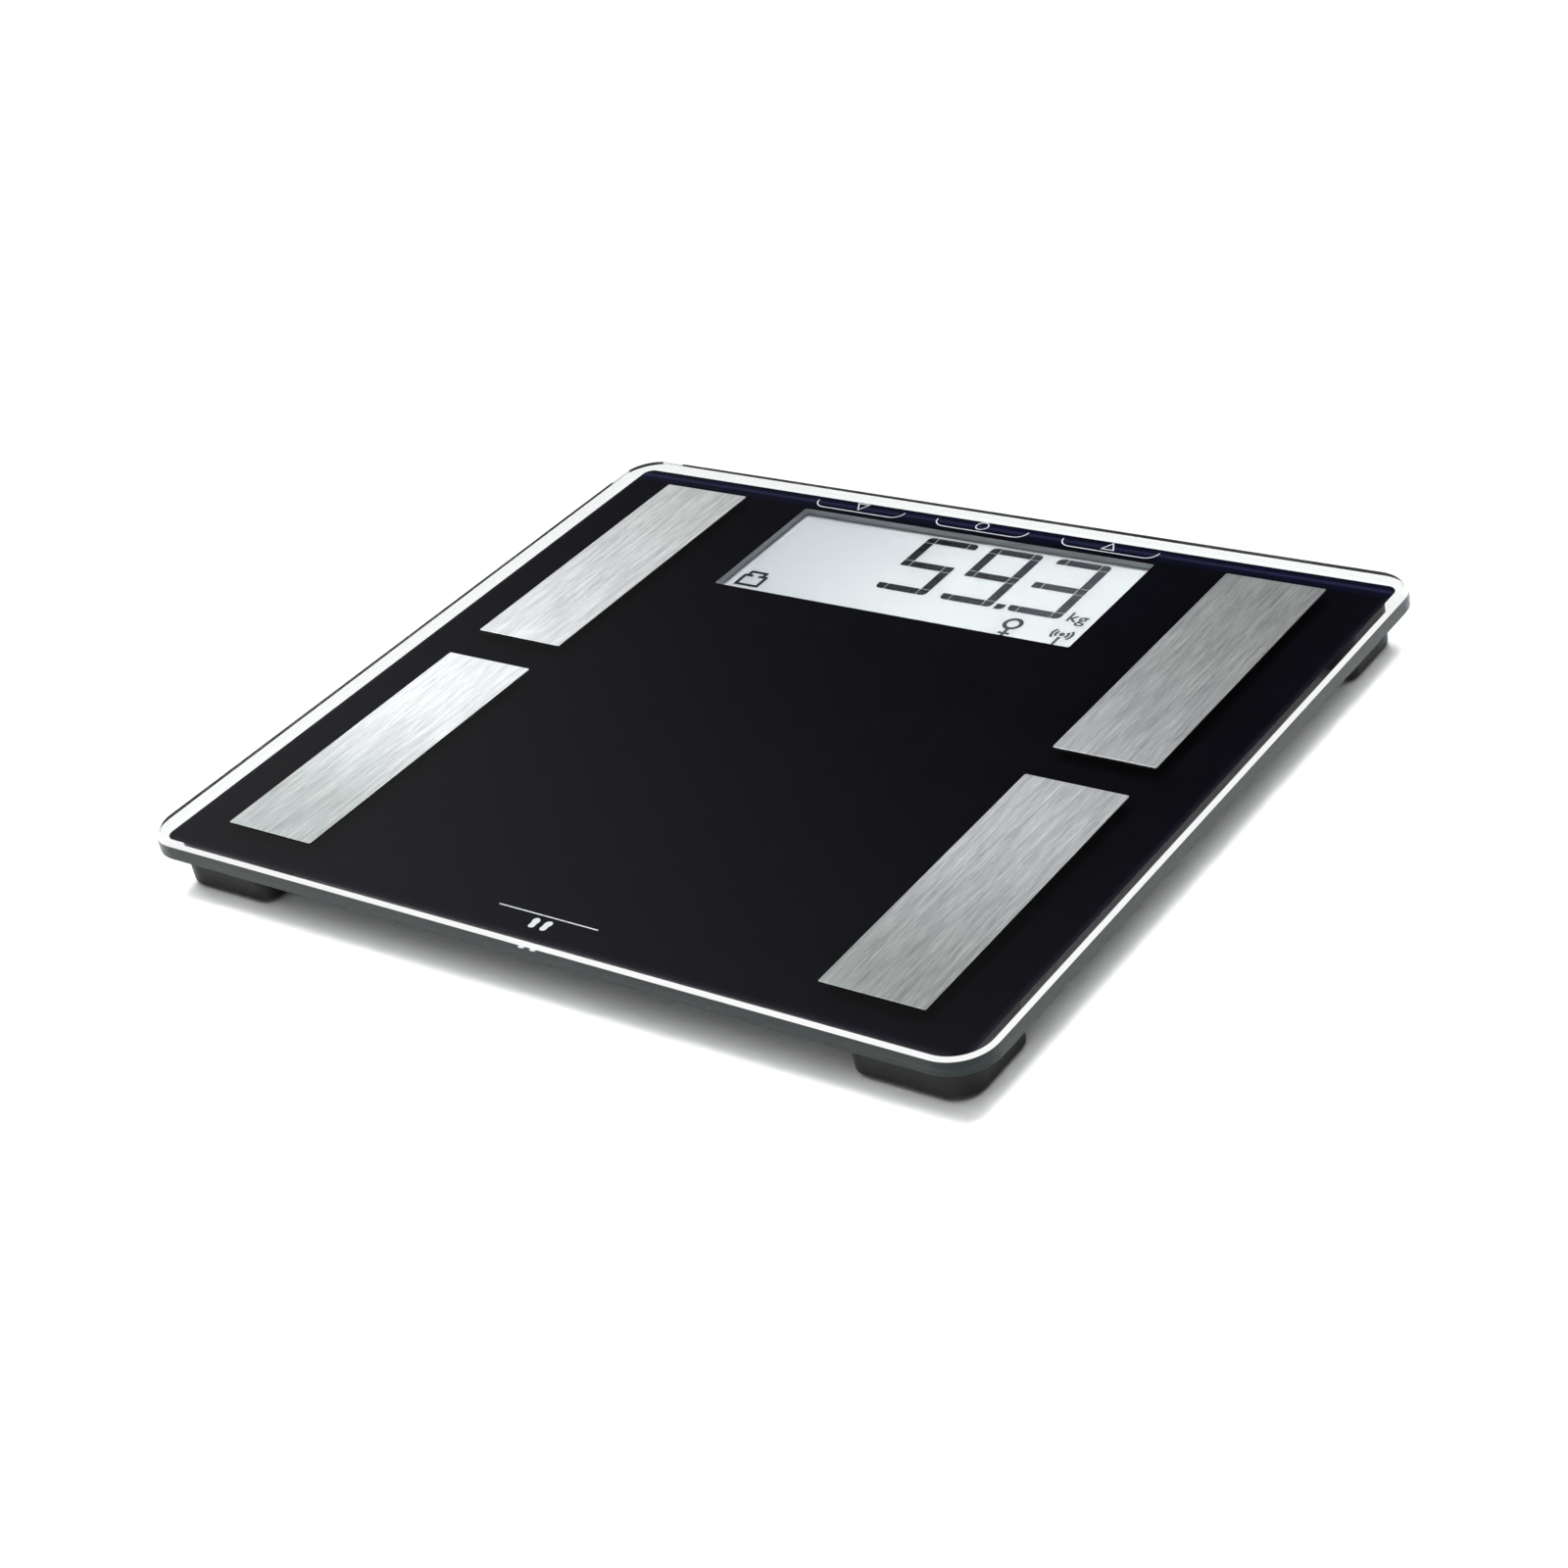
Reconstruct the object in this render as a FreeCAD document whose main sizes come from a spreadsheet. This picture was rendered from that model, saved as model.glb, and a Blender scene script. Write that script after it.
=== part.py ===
import FreeCAD, Part
import math
import os
import Sketcher

# Digital body-analysis bathroom scale: a glass platform on four sprung load-cell feet.
# Millimetres. +X is the user's right, +Y is the display edge, +Z is up, and z = 0 is the floor.
# The origin is under the centre of the glass.

os.makedirs("parts", exist_ok=True)
document = FreeCAD.newDocument("bathroom_scale")
sheet = document.addObject("Spreadsheet::Sheet", "dims")


class Size:
    """A length in millimetres that also carries its spreadsheet formula."""

    def __init__(self, formula, number):
        self.formula = formula
        self.number = number

    def join(self, sign, other, number):
        return Size(f"({self.formula} {sign} {other.formula})", number)

    def __add__(self, other):
        other = as_size(other)
        return self.join("+", other, self.number + other.number)

    def __sub__(self, other):
        other = as_size(other)
        return self.join("-", other, self.number - other.number)

    def __mul__(self, other):
        other = as_size(other)
        return self.join("*", other, self.number * other.number)

    def __truediv__(self, other):
        other = as_size(other)
        return self.join("/", other, self.number / other.number)

    __radd__ = __add__
    __rmul__ = __mul__

    def __neg__(self):
        return as_size(0) - self


def as_size(value):
    if isinstance(value, Size):
        return value
    return Size(repr(float(value)), float(value))


def driving(alias, number):
    """Put one driving dimension in the sheet and return it as a Size."""
    driving.row += 1
    sheet.set(f"A{driving.row}", alias)
    sheet.set(f"B{driving.row}", repr(number))
    sheet.setAlias(f"B{driving.row}", alias)
    return Size(f"dims.{alias}", number)


driving.row = 0

# Glass platform and the ink under it
glass_width = driving("glass_width", 310.0)
glass_depth = driving("glass_depth", 262.4)
glass_thick = driving("glass_thick", 6.0)
glass_corner = driving("glass_corner", 13.5)
arris_width = driving("arris_width", 1.5)
arris_depth = driving("arris_depth", 0.75)
arris_bottom = driving("arris_bottom", 0.5)
total_height = driving("total_height", 20.0)
print_thick = driving("print_thick", 0.15)
print_width = driving("print_width", 297.8)
print_depth = driving("print_depth", 252.0)
print_corner = driving("print_corner", 3.5)
# Steel electrodes on the glass
electrode_width = driving("electrode_width", 35.0)
electrode_length = driving("electrode_length", 107.0)
electrode_thick = driving("electrode_thick", 0.3)
electrode_x = driving("electrode_x", 112.77)
electrode_y = driving("electrode_y", 61.1)
electrode_corner = driving("electrode_corner", 0.6)
pin_radius = driving("pin_radius", 1.9)
pin_clearance = driving("pin_clearance", 0.1)
pin_y = driving("pin_y", 22.0)
pin_flange = driving("pin_flange", 3.2)
pin_flange_thick = driving("pin_flange_thick", 0.95)
# Feet
foot_x = driving("foot_x", 128.1)
foot_y = driving("foot_y", 109.3)
foot_width = driving("foot_width", 39.0)
foot_depth = driving("foot_depth", 32.0)
foot_outer_corner = driving("foot_outer_corner", 9.0)
foot_inner_corner = driving("foot_inner_corner", 5.5)
foot_edge = driving("foot_edge", 1.6)
foot_travel = driving("foot_travel", 0.4)
cup_lift = driving("cup_lift", 0.5)
cup_gap = driving("cup_gap", 0.8)
cup_wall = driving("cup_wall", 1.8)
cup_floor = driving("cup_floor", 2.4)
sole_thick = driving("sole_thick", 1.3)
sole_inset = driving("sole_inset", 5.0)
sole_corner = driving("sole_corner", 4.0)
tape_thick = driving("tape_thick", 0.4)
bracket_thick = driving("bracket_thick", 1.4)
bracket_inset = driving("bracket_inset", 0.6)
cell_width = driving("cell_width", 30.0)
cell_depth = driving("cell_depth", 24.0)
cell_thick = driving("cell_thick", 1.3)
cell_z = driving("cell_z", 7.6)
post_radius = driving("post_radius", 4.0)
# Display and its housing
window_x = driving("window_x", -2.1)
window_y = driving("window_y", 89.95)
window_width = driving("window_width", 139.4)
window_depth = driving("window_depth", 54.4)
window_corner = driving("window_corner", 1.0)
display_drop = driving("display_drop", 2.2)
lcd_sheet = driving("lcd_sheet", 0.7)
lcd_ledge = driving("lcd_ledge", 3.5)
reflector_thick = driving("reflector_thick", 0.25)
housing_width = driving("housing_width", 170.0)
housing_depth = driving("housing_depth", 107.4)
housing_rear = driving("housing_rear", 123.6)
housing_bottom = driving("housing_bottom", 1.8)
housing_split = driving("housing_split", 9.2)
housing_corner = driving("housing_corner", 5.0)
housing_edge = driving("housing_edge", 0.8)
floor_thick = driving("floor_thick", 1.2)
cover_wall = driving("cover_wall", 1.6)
rim_wall = driving("rim_wall", 2.0)
boss_x = driving("boss_x", 79.9)
boss_y = driving("boss_y", 48.7)
boss_radius = driving("boss_radius", 3.4)
boss_meet = driving("boss_meet", 5.0)
screw_head = driving("screw_head", 2.1)
screw_shank = driving("screw_shank", 1.0)
screw_reach = driving("screw_reach", 6.0)
pcb_y = driving("pcb_y", 89.2)
pcb_z = driving("pcb_z", 3.6)
pcb_width = driving("pcb_width", 145.0)
pcb_depth = driving("pcb_depth", 59.6)
pcb_thick = driving("pcb_thick", 1.6)
# Keys
key_pitch = driving("key_pitch", 49.9)
key_width = driving("key_width", 32.4)
key_height = driving("key_height", 4.5)
key_z = driving("key_z", 6.35)
key_reach = driving("key_reach", 2.2)
key_travel = driving("key_travel", 0.8)
key_gap = driving("key_gap", 0.3)
plunger_radius = driving("plunger_radius", 0.9)
switch_y = driving("switch_y", 116.4)
switch_depth = driving("switch_depth", 4.2)
# Batteries and door
battery_radius = driving("battery_radius", 5.15)
battery_length = driving("battery_length", 44.0)
battery_pitch = driving("battery_pitch", 10.8)
bay_length = driving("bay_length", 48.0)
bay_depth = driving("bay_depth", 35.0)
bay_y = driving("bay_y", 38.0)
bay_wall = driving("bay_wall", 1.2)
door_gap = driving("door_gap", 0.3)
door_thick = driving("door_thick", 1.1)
tongue_x = driving("tongue_x", 14.0)
tongue_width = driving("tongue_width", 6.0)
# Leads
sensor_lead = driving("sensor_lead", 0.8)
electrode_lead = driving("electrode_lead", 0.6)
lead_z = driving("lead_z", 12.0)
lead_bend = driving("lead_bend", 40.0)
foot_lead_z = driving("foot_lead_z", 10.4)
solder_gap = driving("solder_gap", 0.05)
lead_offset = driving("lead_offset", 11.0)
sensor_entry = driving("sensor_entry", 50.0)
front_entry = driving("front_entry", 48.0)
rear_entry = driving("rear_entry", 79.0)

document.recompute()

# Heights that follow from the driving dimensions
glass_top = total_height - electrode_thick
glass_bottom = glass_top - glass_thick
print_bottom = glass_bottom - print_thick
tape_bottom = print_bottom - tape_thick
lcd_top = print_bottom - display_drop
cup_top = print_bottom - cup_gap
housing_floor = housing_bottom + floor_thick
pcb_top = pcb_z + pcb_thick
housing_y = housing_rear - housing_depth / 2
slot_bottom = key_z - key_height / 2 - key_gap

CORNERS = {"front_left": (-1, -1), "front_right": (1, -1), "rear_left": (-1, 1), "rear_right": (1, 1)}
KEYS = {"left": -1, "middle": 0, "right": 1}

finished = []
cuts = []


def bind(thing, path, size):
    thing.setExpression(path, as_size(size).formula)


def place(thing, x, y, z):
    """Bind an object's position to the sheet."""
    bind(thing, "Placement.Base.x", x)
    bind(thing, "Placement.Base.y", y)
    bind(thing, "Placement.Base.z", z)


def finish(thing, label):
    """Give a finished sub-part its name."""
    thing.Label = label
    finished.append(thing)
    return thing


# Part Design helpers

def new_body(label, x=0, y=0, z=0):
    body = document.addObject("PartDesign::Body", label)
    place(body, x, y, z)
    return finish(body, label)


def flat_sketch(body, name, x, y, z):
    """An empty sketch on the body's XY plane, moved to x, y, z."""
    sketch = body.newObject("Sketcher::SketchObject", name)
    planes = [item for item in body.Origin.OriginFeatures if item.Role == "XY_Plane"]
    sketch.AttachmentSupport = (planes[0], [""])
    sketch.MapMode = "FlatFace"
    bind(sketch, "AttachmentOffset.Base.x", x)
    bind(sketch, "AttachmentOffset.Base.y", y)
    bind(sketch, "AttachmentOffset.Base.z", z)
    return sketch


def set_size(sketch, constraint, size):
    """Add one dimension to a sketch and bind it to the sheet."""
    index = sketch.addConstraint(constraint)
    bind(sketch, f"Constraints[{index}]", size)


def draw_rectangle(sketch, width, depth, corners):
    """A rectangle about the sketch's origin; corners holds the radii from +X-Y anticlockwise."""
    half_x = width / 2
    half_y = depth / 2
    signs = [(1, -1), (1, 1), (-1, 1), (-1, -1)]
    radii = [corner.number for corner in corners] if corners else [0.0] * 4
    points = []
    for (sign_x, sign_y), radius in zip(signs, radii):
        edge_x = sign_x * half_x.number
        edge_y = sign_y * half_y.number
        before = FreeCAD.Vector(edge_x, edge_y - sign_y * radius, 0)
        after = FreeCAD.Vector(edge_x - sign_x * radius, edge_y, 0)
        if sign_x * sign_y < 0:
            before, after = after, before
        points.append((before, after))
    lines = []
    for index in range(4):
        start = points[index - 1][1]
        lines.append(sketch.addGeometry(Part.LineSegment(start, points[index][0]), False))
    for index in range(4):
        following = lines[(index + 1) % 4]
        if not corners:
            sketch.addConstraint(Sketcher.Constraint("Coincident", lines[index], 2, following, 1))
            continue
        centre = FreeCAD.Vector(
            signs[index][0] * (half_x.number - radii[index]),
            signs[index][1] * (half_y.number - radii[index]),
            0,
        )
        circle = Part.Circle(centre, FreeCAD.Vector(0, 0, 1), radii[index])
        start_angle = math.radians(90 * index - 90)
        arc = sketch.addGeometry(Part.ArcOfCircle(circle, start_angle, start_angle + math.pi / 2), False)
        sketch.addConstraint(Sketcher.Constraint("Tangent", lines[index], 2, arc, 1))
        sketch.addConstraint(Sketcher.Constraint("Tangent", arc, 2, following, 1))
        set_size(sketch, Sketcher.Constraint("Radius", arc, radii[index]), corners[index])
    for line, direction in zip(lines, ("Horizontal", "Vertical", "Horizontal", "Vertical")):
        sketch.addConstraint(Sketcher.Constraint(direction, line))
    low, right, high, left = lines
    set_size(sketch, Sketcher.Constraint("DistanceX", -1, 1, right, 1, half_x.number), half_x)
    set_size(sketch, Sketcher.Constraint("DistanceX", left, 1, -1, 1, half_x.number), half_x)
    set_size(sketch, Sketcher.Constraint("DistanceY", -1, 1, high, 1, half_y.number), half_y)
    set_size(sketch, Sketcher.Constraint("DistanceY", low, 1, -1, 1, half_y.number), half_y)


def extrude(body, kind, name, sketch, height):
    """Pad a sketch upwards, or cut a pocket downwards from it."""
    base = body.Tip
    feature = body.newObject(f"PartDesign::{kind}", name)
    feature.Profile = sketch
    feature.Reversed = False
    bind(feature, "Length", height)
    body.Tip = feature
    if kind == "Pocket":
        cuts.append((base, feature))
    return feature


def block(body, kind, name, size, at=(0, 0, 0), corner=None):
    """A box-shaped pad or pocket that stands on z of at; corner is one radius or four."""
    width, depth, height = [as_size(value) for value in size]
    x, y, z = [as_size(value) for value in at]
    corners = corner if isinstance(corner, list) or corner is None else [as_size(corner)] * 4
    level = z + height if kind == "Pocket" else z
    sketch = flat_sketch(body, f"{name}_outline", x, y, level)
    draw_rectangle(sketch, width, depth, corners)
    return extrude(body, kind, name, sketch, height)


def disc(body, kind, name, radius, height, at=(0, 0, 0)):
    """A round pad or pocket that stands on z of at."""
    x, y, z = [as_size(value) for value in at]
    radius = as_size(radius)
    level = z + height if kind == "Pocket" else z
    sketch = flat_sketch(body, f"{name}_circle", x, y, level)
    circle = Part.Circle(FreeCAD.Vector(0, 0, 0), FreeCAD.Vector(0, 0, 1), radius.number)
    index = sketch.addGeometry(circle, False)
    sketch.addConstraint(Sketcher.Constraint("Coincident", index, 3, -1, 1))
    set_size(sketch, Sketcher.Constraint("Radius", index, radius.number), radius)
    return extrude(body, kind, name, sketch, as_size(height))


def dress_edges(body, kind, name, level, size, width=None):
    """Fillet or chamfer every edge that lies at one height of the body's own frame."""
    document.recompute()
    base = body.Tip
    names = []
    for index, edge in enumerate(base.Shape.Edges, 1):
        if all(abs(vertex.Z - level.number) < 1e-4 for vertex in edge.Vertexes):
            names.append(f"Edge{index}")
    feature = body.newObject(f"PartDesign::{kind}", name)
    feature.Base = (base, names)
    bind(feature, "Radius" if kind == "Fillet" else "Size", size)
    if width:
        feature.ChamferType = "Two distances"
        bind(feature, "Size2", width)
    body.Tip = feature
    return feature


# Part helpers

def cylinder(name, radius, height, at, axis=(0, 0, 1)):
    solid = document.addObject("Part::Cylinder", name)
    bind(solid, "Radius", radius)
    bind(solid, "Height", height)
    solid.Placement.Rotation = FreeCAD.Rotation(FreeCAD.Vector(0, 0, 1), FreeCAD.Vector(*axis))
    place(solid, *at)
    return solid


def centred_box(name, size, at):
    """A box centred on x and y of at that stands on its z."""
    width, depth, height = [as_size(value) for value in size]
    solid = document.addObject("Part::Box", name)
    bind(solid, "Length", width)
    bind(solid, "Width", depth)
    bind(solid, "Height", height)
    place(solid, as_size(at[0]) - width / 2, as_size(at[1]) - depth / 2, at[2])
    return solid


def fuse(name, solids):
    fused = document.addObject("Part::MultiFuse", name)
    fused.Shapes = solids
    return fused


def cut(name, base, tool):
    result = document.addObject("Part::Cut", name)
    result.Base = base
    result.Tool = tool
    return result


def group(label, solids):
    """Identical separate pieces that share one node."""
    compound = document.addObject("Part::Compound", label)
    compound.Links = solids
    return finish(compound, label)


# Glass platform: tempered float glass with ground edges and a drilling under each electrode
def make_glass():
    body = new_body("glass_platform", 0, 0, glass_bottom)
    block(body, "Pad", "slab", (glass_width, glass_depth, glass_thick), corner=glass_corner)
    dress_edges(body, "Chamfer", "top_arris", glass_thick, arris_depth, arris_width)
    dress_edges(body, "Chamfer", "bottom_arris", as_size(0), arris_bottom)
    for corner, (side, end) in CORNERS.items():
        at = (side * electrode_x, end * pin_y, 0)
        disc(body, "Pocket", f"drilling_{corner}", pin_radius + pin_clearance, glass_thick, at)


# Screen print on the underside: a dark ink layer with a window over the display
def make_print():
    body = new_body("underside_print", 0, 0, print_bottom)
    block(body, "Pad", "ink", (print_width, print_depth, print_thick), corner=print_corner)
    window = (window_width, window_depth, print_thick)
    block(body, "Pocket", "window", window, (window_x, window_y, 0), window_corner)
    for corner, (side, end) in CORNERS.items():
        at = (side * electrode_x, end * pin_y, 0)
        disc(body, "Pocket", f"hole_{corner}", pin_radius + pin_clearance, print_thick, at)


# Electrodes: thin brushed steel plates bonded to the glass
def make_electrode(corner, side, end):
    body = new_body(f"electrode_{corner}", side * electrode_x, end * electrode_y, glass_top)
    size = (electrode_width, electrode_length, electrode_thick)
    block(body, "Pad", "plate", size, corner=electrode_corner)


# Contact pins: one rivet through the glass under each electrode, with a solder flange below
def make_contact_pins():
    pins = []
    for corner, (side, end) in CORNERS.items():
        x = side * electrode_x
        y = end * pin_y
        shank = cylinder(f"pin_shank_{corner}", pin_radius, glass_thick + print_thick, (x, y, print_bottom))
        flange_z = print_bottom - pin_flange_thick
        flange = cylinder(f"pin_flange_{corner}", pin_flange, pin_flange_thick, (x, y, flange_z))
        pins.append(fuse(f"pin_{corner}", [shank, flange]))
    group("electrode_contact_pins", pins)


# Feet: a plastic cup that carries a load cell and slides up a little under load
def foot_corners(side, end, inset):
    """The cup's four corner radii: the corner of the scale is the round one."""
    order = [(1, -1), (1, 1), (-1, 1), (-1, -1)]
    radii = []
    for sign in order:
        outer = sign == (side, end)
        radii.append((foot_outer_corner if outer else foot_inner_corner) - inset)
    return radii


def make_foot_cup(corner, side, end):
    body = new_body(f"foot_cup_{corner}", side * foot_x, end * foot_y, cup_lift)
    height = cup_top - cup_lift
    outline = (foot_width, foot_depth, height)
    block(body, "Pad", "outer", outline, corner=foot_corners(side, end, 0))
    dress_edges(body, "Fillet", "bottom_edge", as_size(0), foot_edge)
    inside = (foot_width - 2 * cup_wall, foot_depth - 2 * cup_wall, height - cup_floor)
    block(body, "Pocket", "inside", inside, (0, 0, cup_floor), foot_corners(side, end, cup_wall))
    disc(body, "Pad", "post", post_radius, cell_z - cup_lift - cup_floor, (0, 0, cup_floor))
    recess = (foot_width - 2 * sole_inset, foot_depth - 2 * sole_inset, sole_thick - cup_lift)
    block(body, "Pocket", "sole_recess", recess, (0, 0, 0), sole_corner)
    lead_play = 0.8
    notch_width = 2 * (sensor_lead + lead_play)
    notch_z = foot_lead_z - cup_lift - sensor_lead - foot_travel - lead_play / 2
    notch = (3 * cup_wall, notch_width, height - notch_z)
    at = (-side * (foot_width / 2 - cup_wall / 2), -end * lead_offset, notch_z)
    block(body, "Pocket", "lead_notch", notch, at)


def make_foot_sole(corner, side, end):
    body = new_body(f"foot_sole_{corner}", side * foot_x, end * foot_y, 0)
    size = (foot_width - 2 * sole_inset, foot_depth - 2 * sole_inset, sole_thick)
    block(body, "Pad", "pad", size, corner=sole_corner)


def make_load_cell(corner, side, end):
    """A steel plate whose middle tongue bends; a U-shaped slot parts it from the frame."""
    body = new_body(f"load_cell_{corner}", side * foot_x, end * foot_y, cell_z)
    block(body, "Pad", "plate", (cell_width, cell_depth, cell_thick), corner=2)
    slot = 1.5
    tongue = 11.0
    reach = 16.0
    run_over = 0.2
    for name, sign in (("slot_left", -1), ("slot_right", 1)):
        at = (sign * (tongue + slot) / 2, 0, 0)
        block(body, "Pocket", name, (slot, reach, cell_thick), at)
    at = (0, end * (reach - slot) / 2, 0)
    block(body, "Pocket", "slot_end", (tongue + run_over, slot, cell_thick), at)


def make_strain_gauge(corner, side, end):
    inward = 5.0
    cover_size = (7.0, 5.0, 0.9)
    y = end * (foot_y - inward)
    body = new_body(f"strain_gauge_{corner}", side * foot_x, y, cell_z + cell_thick)
    block(body, "Pad", "cover", cover_size, corner=1.0)


def make_foot_bracket(corner, side, end):
    """Taped under the glass: legs over the load cell's frame, and hooks that keep it in."""
    body = new_body(f"foot_bracket_{corner}", side * foot_x, end * foot_y, 0)
    inset = cup_wall + bracket_inset
    plate_z = tape_bottom - bracket_thick
    plate = (foot_width - 2 * inset, foot_depth - 2 * inset, bracket_thick)
    block(body, "Pad", "plate", plate, (0, 0, plate_z), foot_corners(side, end, inset))
    leg_z = cell_z + cell_thick + foot_travel + 0.15
    leg_width = 2.0
    leg_length = 18.0
    hook_z = cell_z - 1.1
    hook_thick = 1.2
    hook_length = 10.0
    hook_play = 0.35
    lip_width = 2.6
    lip_thick = 0.75
    for name, sign in (("left", -1), ("right", 1)):
        leg_x = sign * (cell_width / 2 - leg_width / 2 - 0.5)
        block(body, "Pad", f"leg_{name}", (leg_width, leg_length, plate_z - leg_z), (leg_x, 0, leg_z))
        hook_x = sign * (cell_width / 2 + hook_play + hook_thick / 2)
        hook = (hook_thick, hook_length, plate_z - hook_z)
        block(body, "Pad", f"hook_{name}", hook, (hook_x, 0, hook_z))
        lip_x = sign * (cell_width / 2 + hook_play + hook_thick - lip_width / 2)
        block(body, "Pad", f"lip_{name}", (lip_width, hook_length, lip_thick), (lip_x, 0, hook_z))


def make_bracket_tapes():
    tape_margin = 2.0
    inset = cup_wall + bracket_inset + tape_margin
    size = (foot_width - 2 * inset, foot_depth - 2 * inset, tape_thick)
    tapes = []
    for corner, (side, end) in CORNERS.items():
        at = (side * foot_x, end * foot_y, tape_bottom)
        tape = centred_box(f"tape_{corner}", size, at)
        tapes.append(tape)
    group("bracket_tapes", tapes)


# Electronics housing: a rim taped to the glass, and a cover screwed up to it from below
def boss_places():
    for side in (-1, 1):
        for row in (-1, 0, 1):
            yield f"{side + 1}_{row + 1}", window_x + side * boss_x, housing_y + row * boss_y


def make_housing_rim():
    body = new_body("housing_rim", 0, 0, 0)
    height = tape_bottom - housing_split
    at = (window_x, housing_y, housing_split)
    block(body, "Pad", "outer", (housing_width, housing_depth, height), at, housing_corner)
    inside = (housing_width - 2 * rim_wall, housing_depth - 2 * rim_wall, height)
    block(body, "Pocket", "inside", inside, at, housing_corner - rim_wall)
    root_step = 0.4
    pilot_play = 0.03
    pilot_spare = 0.2
    for name, x, y in boss_places():
        disc(body, "Pad", f"root_{name}", boss_radius + root_step, height, (x, y, housing_split))
        reach = housing_split - boss_meet
        disc(body, "Pad", f"boss_{name}", boss_radius - root_step, reach, (x, y, boss_meet))
        pilot = screw_shank + pilot_play
        disc(body, "Pocket", f"pilot_{name}", pilot, screw_reach + pilot_spare, (x, y, boss_meet))
    notch_play = 0.4
    notch = 2 * (sensor_lead + notch_play)
    notch_z = lead_z - sensor_lead - 0.3
    notch_height = tape_bottom - notch_z
    for name, x, y, across in rim_entries():
        size = (3 * rim_wall, notch, notch_height) if across else (notch, 3 * rim_wall, notch_height)
        block(body, "Pocket", f"lead_entry_{name}", size, (x, y, notch_z))


def make_housing_tape():
    body = new_body("housing_tape", 0, 0, tape_bottom)
    at = (window_x, housing_y, 0)
    block(body, "Pad", "outer", (housing_width, housing_depth, tape_thick), at, housing_corner)
    inside = (housing_width - 2 * rim_wall, housing_depth - 2 * rim_wall, tape_thick)
    block(body, "Pocket", "inside", inside, at, housing_corner - rim_wall)


def make_housing_cover():
    body = new_body("housing_cover", 0, 0, 0)
    height = housing_split - housing_bottom
    centre = (window_x, housing_y, housing_bottom)
    block(body, "Pad", "outer", (housing_width, housing_depth, height), centre, housing_corner)
    dress_edges(body, "Chamfer", "lower_edge", housing_bottom, housing_edge)
    inside = (housing_width - 2 * cover_wall, housing_depth - 2 * cover_wall, height - floor_thick)
    inside_at = (window_x, housing_y, housing_floor)
    block(body, "Pocket", "inside", inside, inside_at, housing_corner - cover_wall)
    glass_gap = 0.6
    bay_height = print_bottom - glass_gap - housing_floor
    bay_outer = (bay_length + 2 * bay_wall, bay_depth + 2 * bay_wall, bay_height)
    block(body, "Pad", "bay_walls", bay_outer, (window_x, bay_y, housing_floor), 2.0)
    bay_inner = (bay_length, bay_depth, bay_height + floor_thick)
    block(body, "Pocket", "bay", bay_inner, (window_x, bay_y, housing_bottom), 1.0)
    tongue_play = 0.8
    tongue_slot = (tongue_width + tongue_play, 2 * bay_wall, 2.2)
    for side in (-1, 1):
        at = (window_x + side * tongue_x, bay_y + bay_depth / 2 + bay_wall / 2, housing_floor)
        block(body, "Pocket", f"tongue_slot_{side + 1}", tongue_slot, at)
    at = (window_x, bay_y - bay_depth / 2, housing_bottom)
    thumb_radius = 6.0
    thumb_depth = 0.7
    disc(body, "Pocket", "thumb_notch", thumb_radius, thumb_depth, at)
    head_play = 0.2
    head_depth = 1.5
    shank_play = 0.35
    for name, x, y in boss_places():
        top = boss_meet - housing_floor
        disc(body, "Pad", f"boss_{name}", boss_radius, top, (x, y, housing_floor))
        at = (x, y, housing_bottom)
        disc(body, "Pocket", f"counterbore_{name}", screw_head + head_play, head_depth, at)
        bore = boss_meet - housing_bottom
        disc(body, "Pocket", f"bore_{name}", screw_shank + shank_play, bore, at)
    for name, place_x in KEYS.items():
        slot = (key_width + 2 * key_gap, 3 * cover_wall, housing_split - slot_bottom)
        at = (window_x + place_x * key_pitch, housing_rear - cover_wall / 2, slot_bottom)
        block(body, "Pocket", f"key_slot_{name}", slot, at)
    standoff_x = 60.0
    standoff_y = 18.0
    standoff_radius = 3.0
    for side in (-1, 1):
        for row in (-1, 1):
            at = (window_x + side * standoff_x, pcb_y + row * standoff_y, housing_floor)
            rise = pcb_z - housing_floor
            disc(body, "Pad", f"standoff_{side + 1}_{row + 1}", standoff_radius, rise, at)


def make_cover_screws():
    """Six cross-head screws that hold the cover to the rim."""
    screws = []
    head_height = 1.3
    drive_width = 0.6
    drive_length = 2.6
    drive_depth = 0.7
    head_z = housing_bottom + 0.2
    for name, x, y in boss_places():
        head = cylinder(f"screw_head_{name}", screw_head, head_height, (x, y, head_z))
        shank_length = boss_meet + screw_reach - head_z
        shank = cylinder(f"screw_shank_{name}", screw_shank, shank_length, (x, y, head_z))
        bar_size = (drive_width, drive_length, drive_depth)
        cross_size = (drive_length, drive_width, drive_depth)
        bar = centred_box(f"drive_bar_{name}", bar_size, (x, y, head_z))
        cross = centred_box(f"drive_cross_{name}", cross_size, (x, y, head_z))
        solid = fuse(f"screw_solid_{name}", [head, shank])
        drive = fuse(f"drive_{name}", [bar, cross])
        screws.append(cut(f"screw_{name}", solid, drive))
    group("cover_screws", screws)


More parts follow.
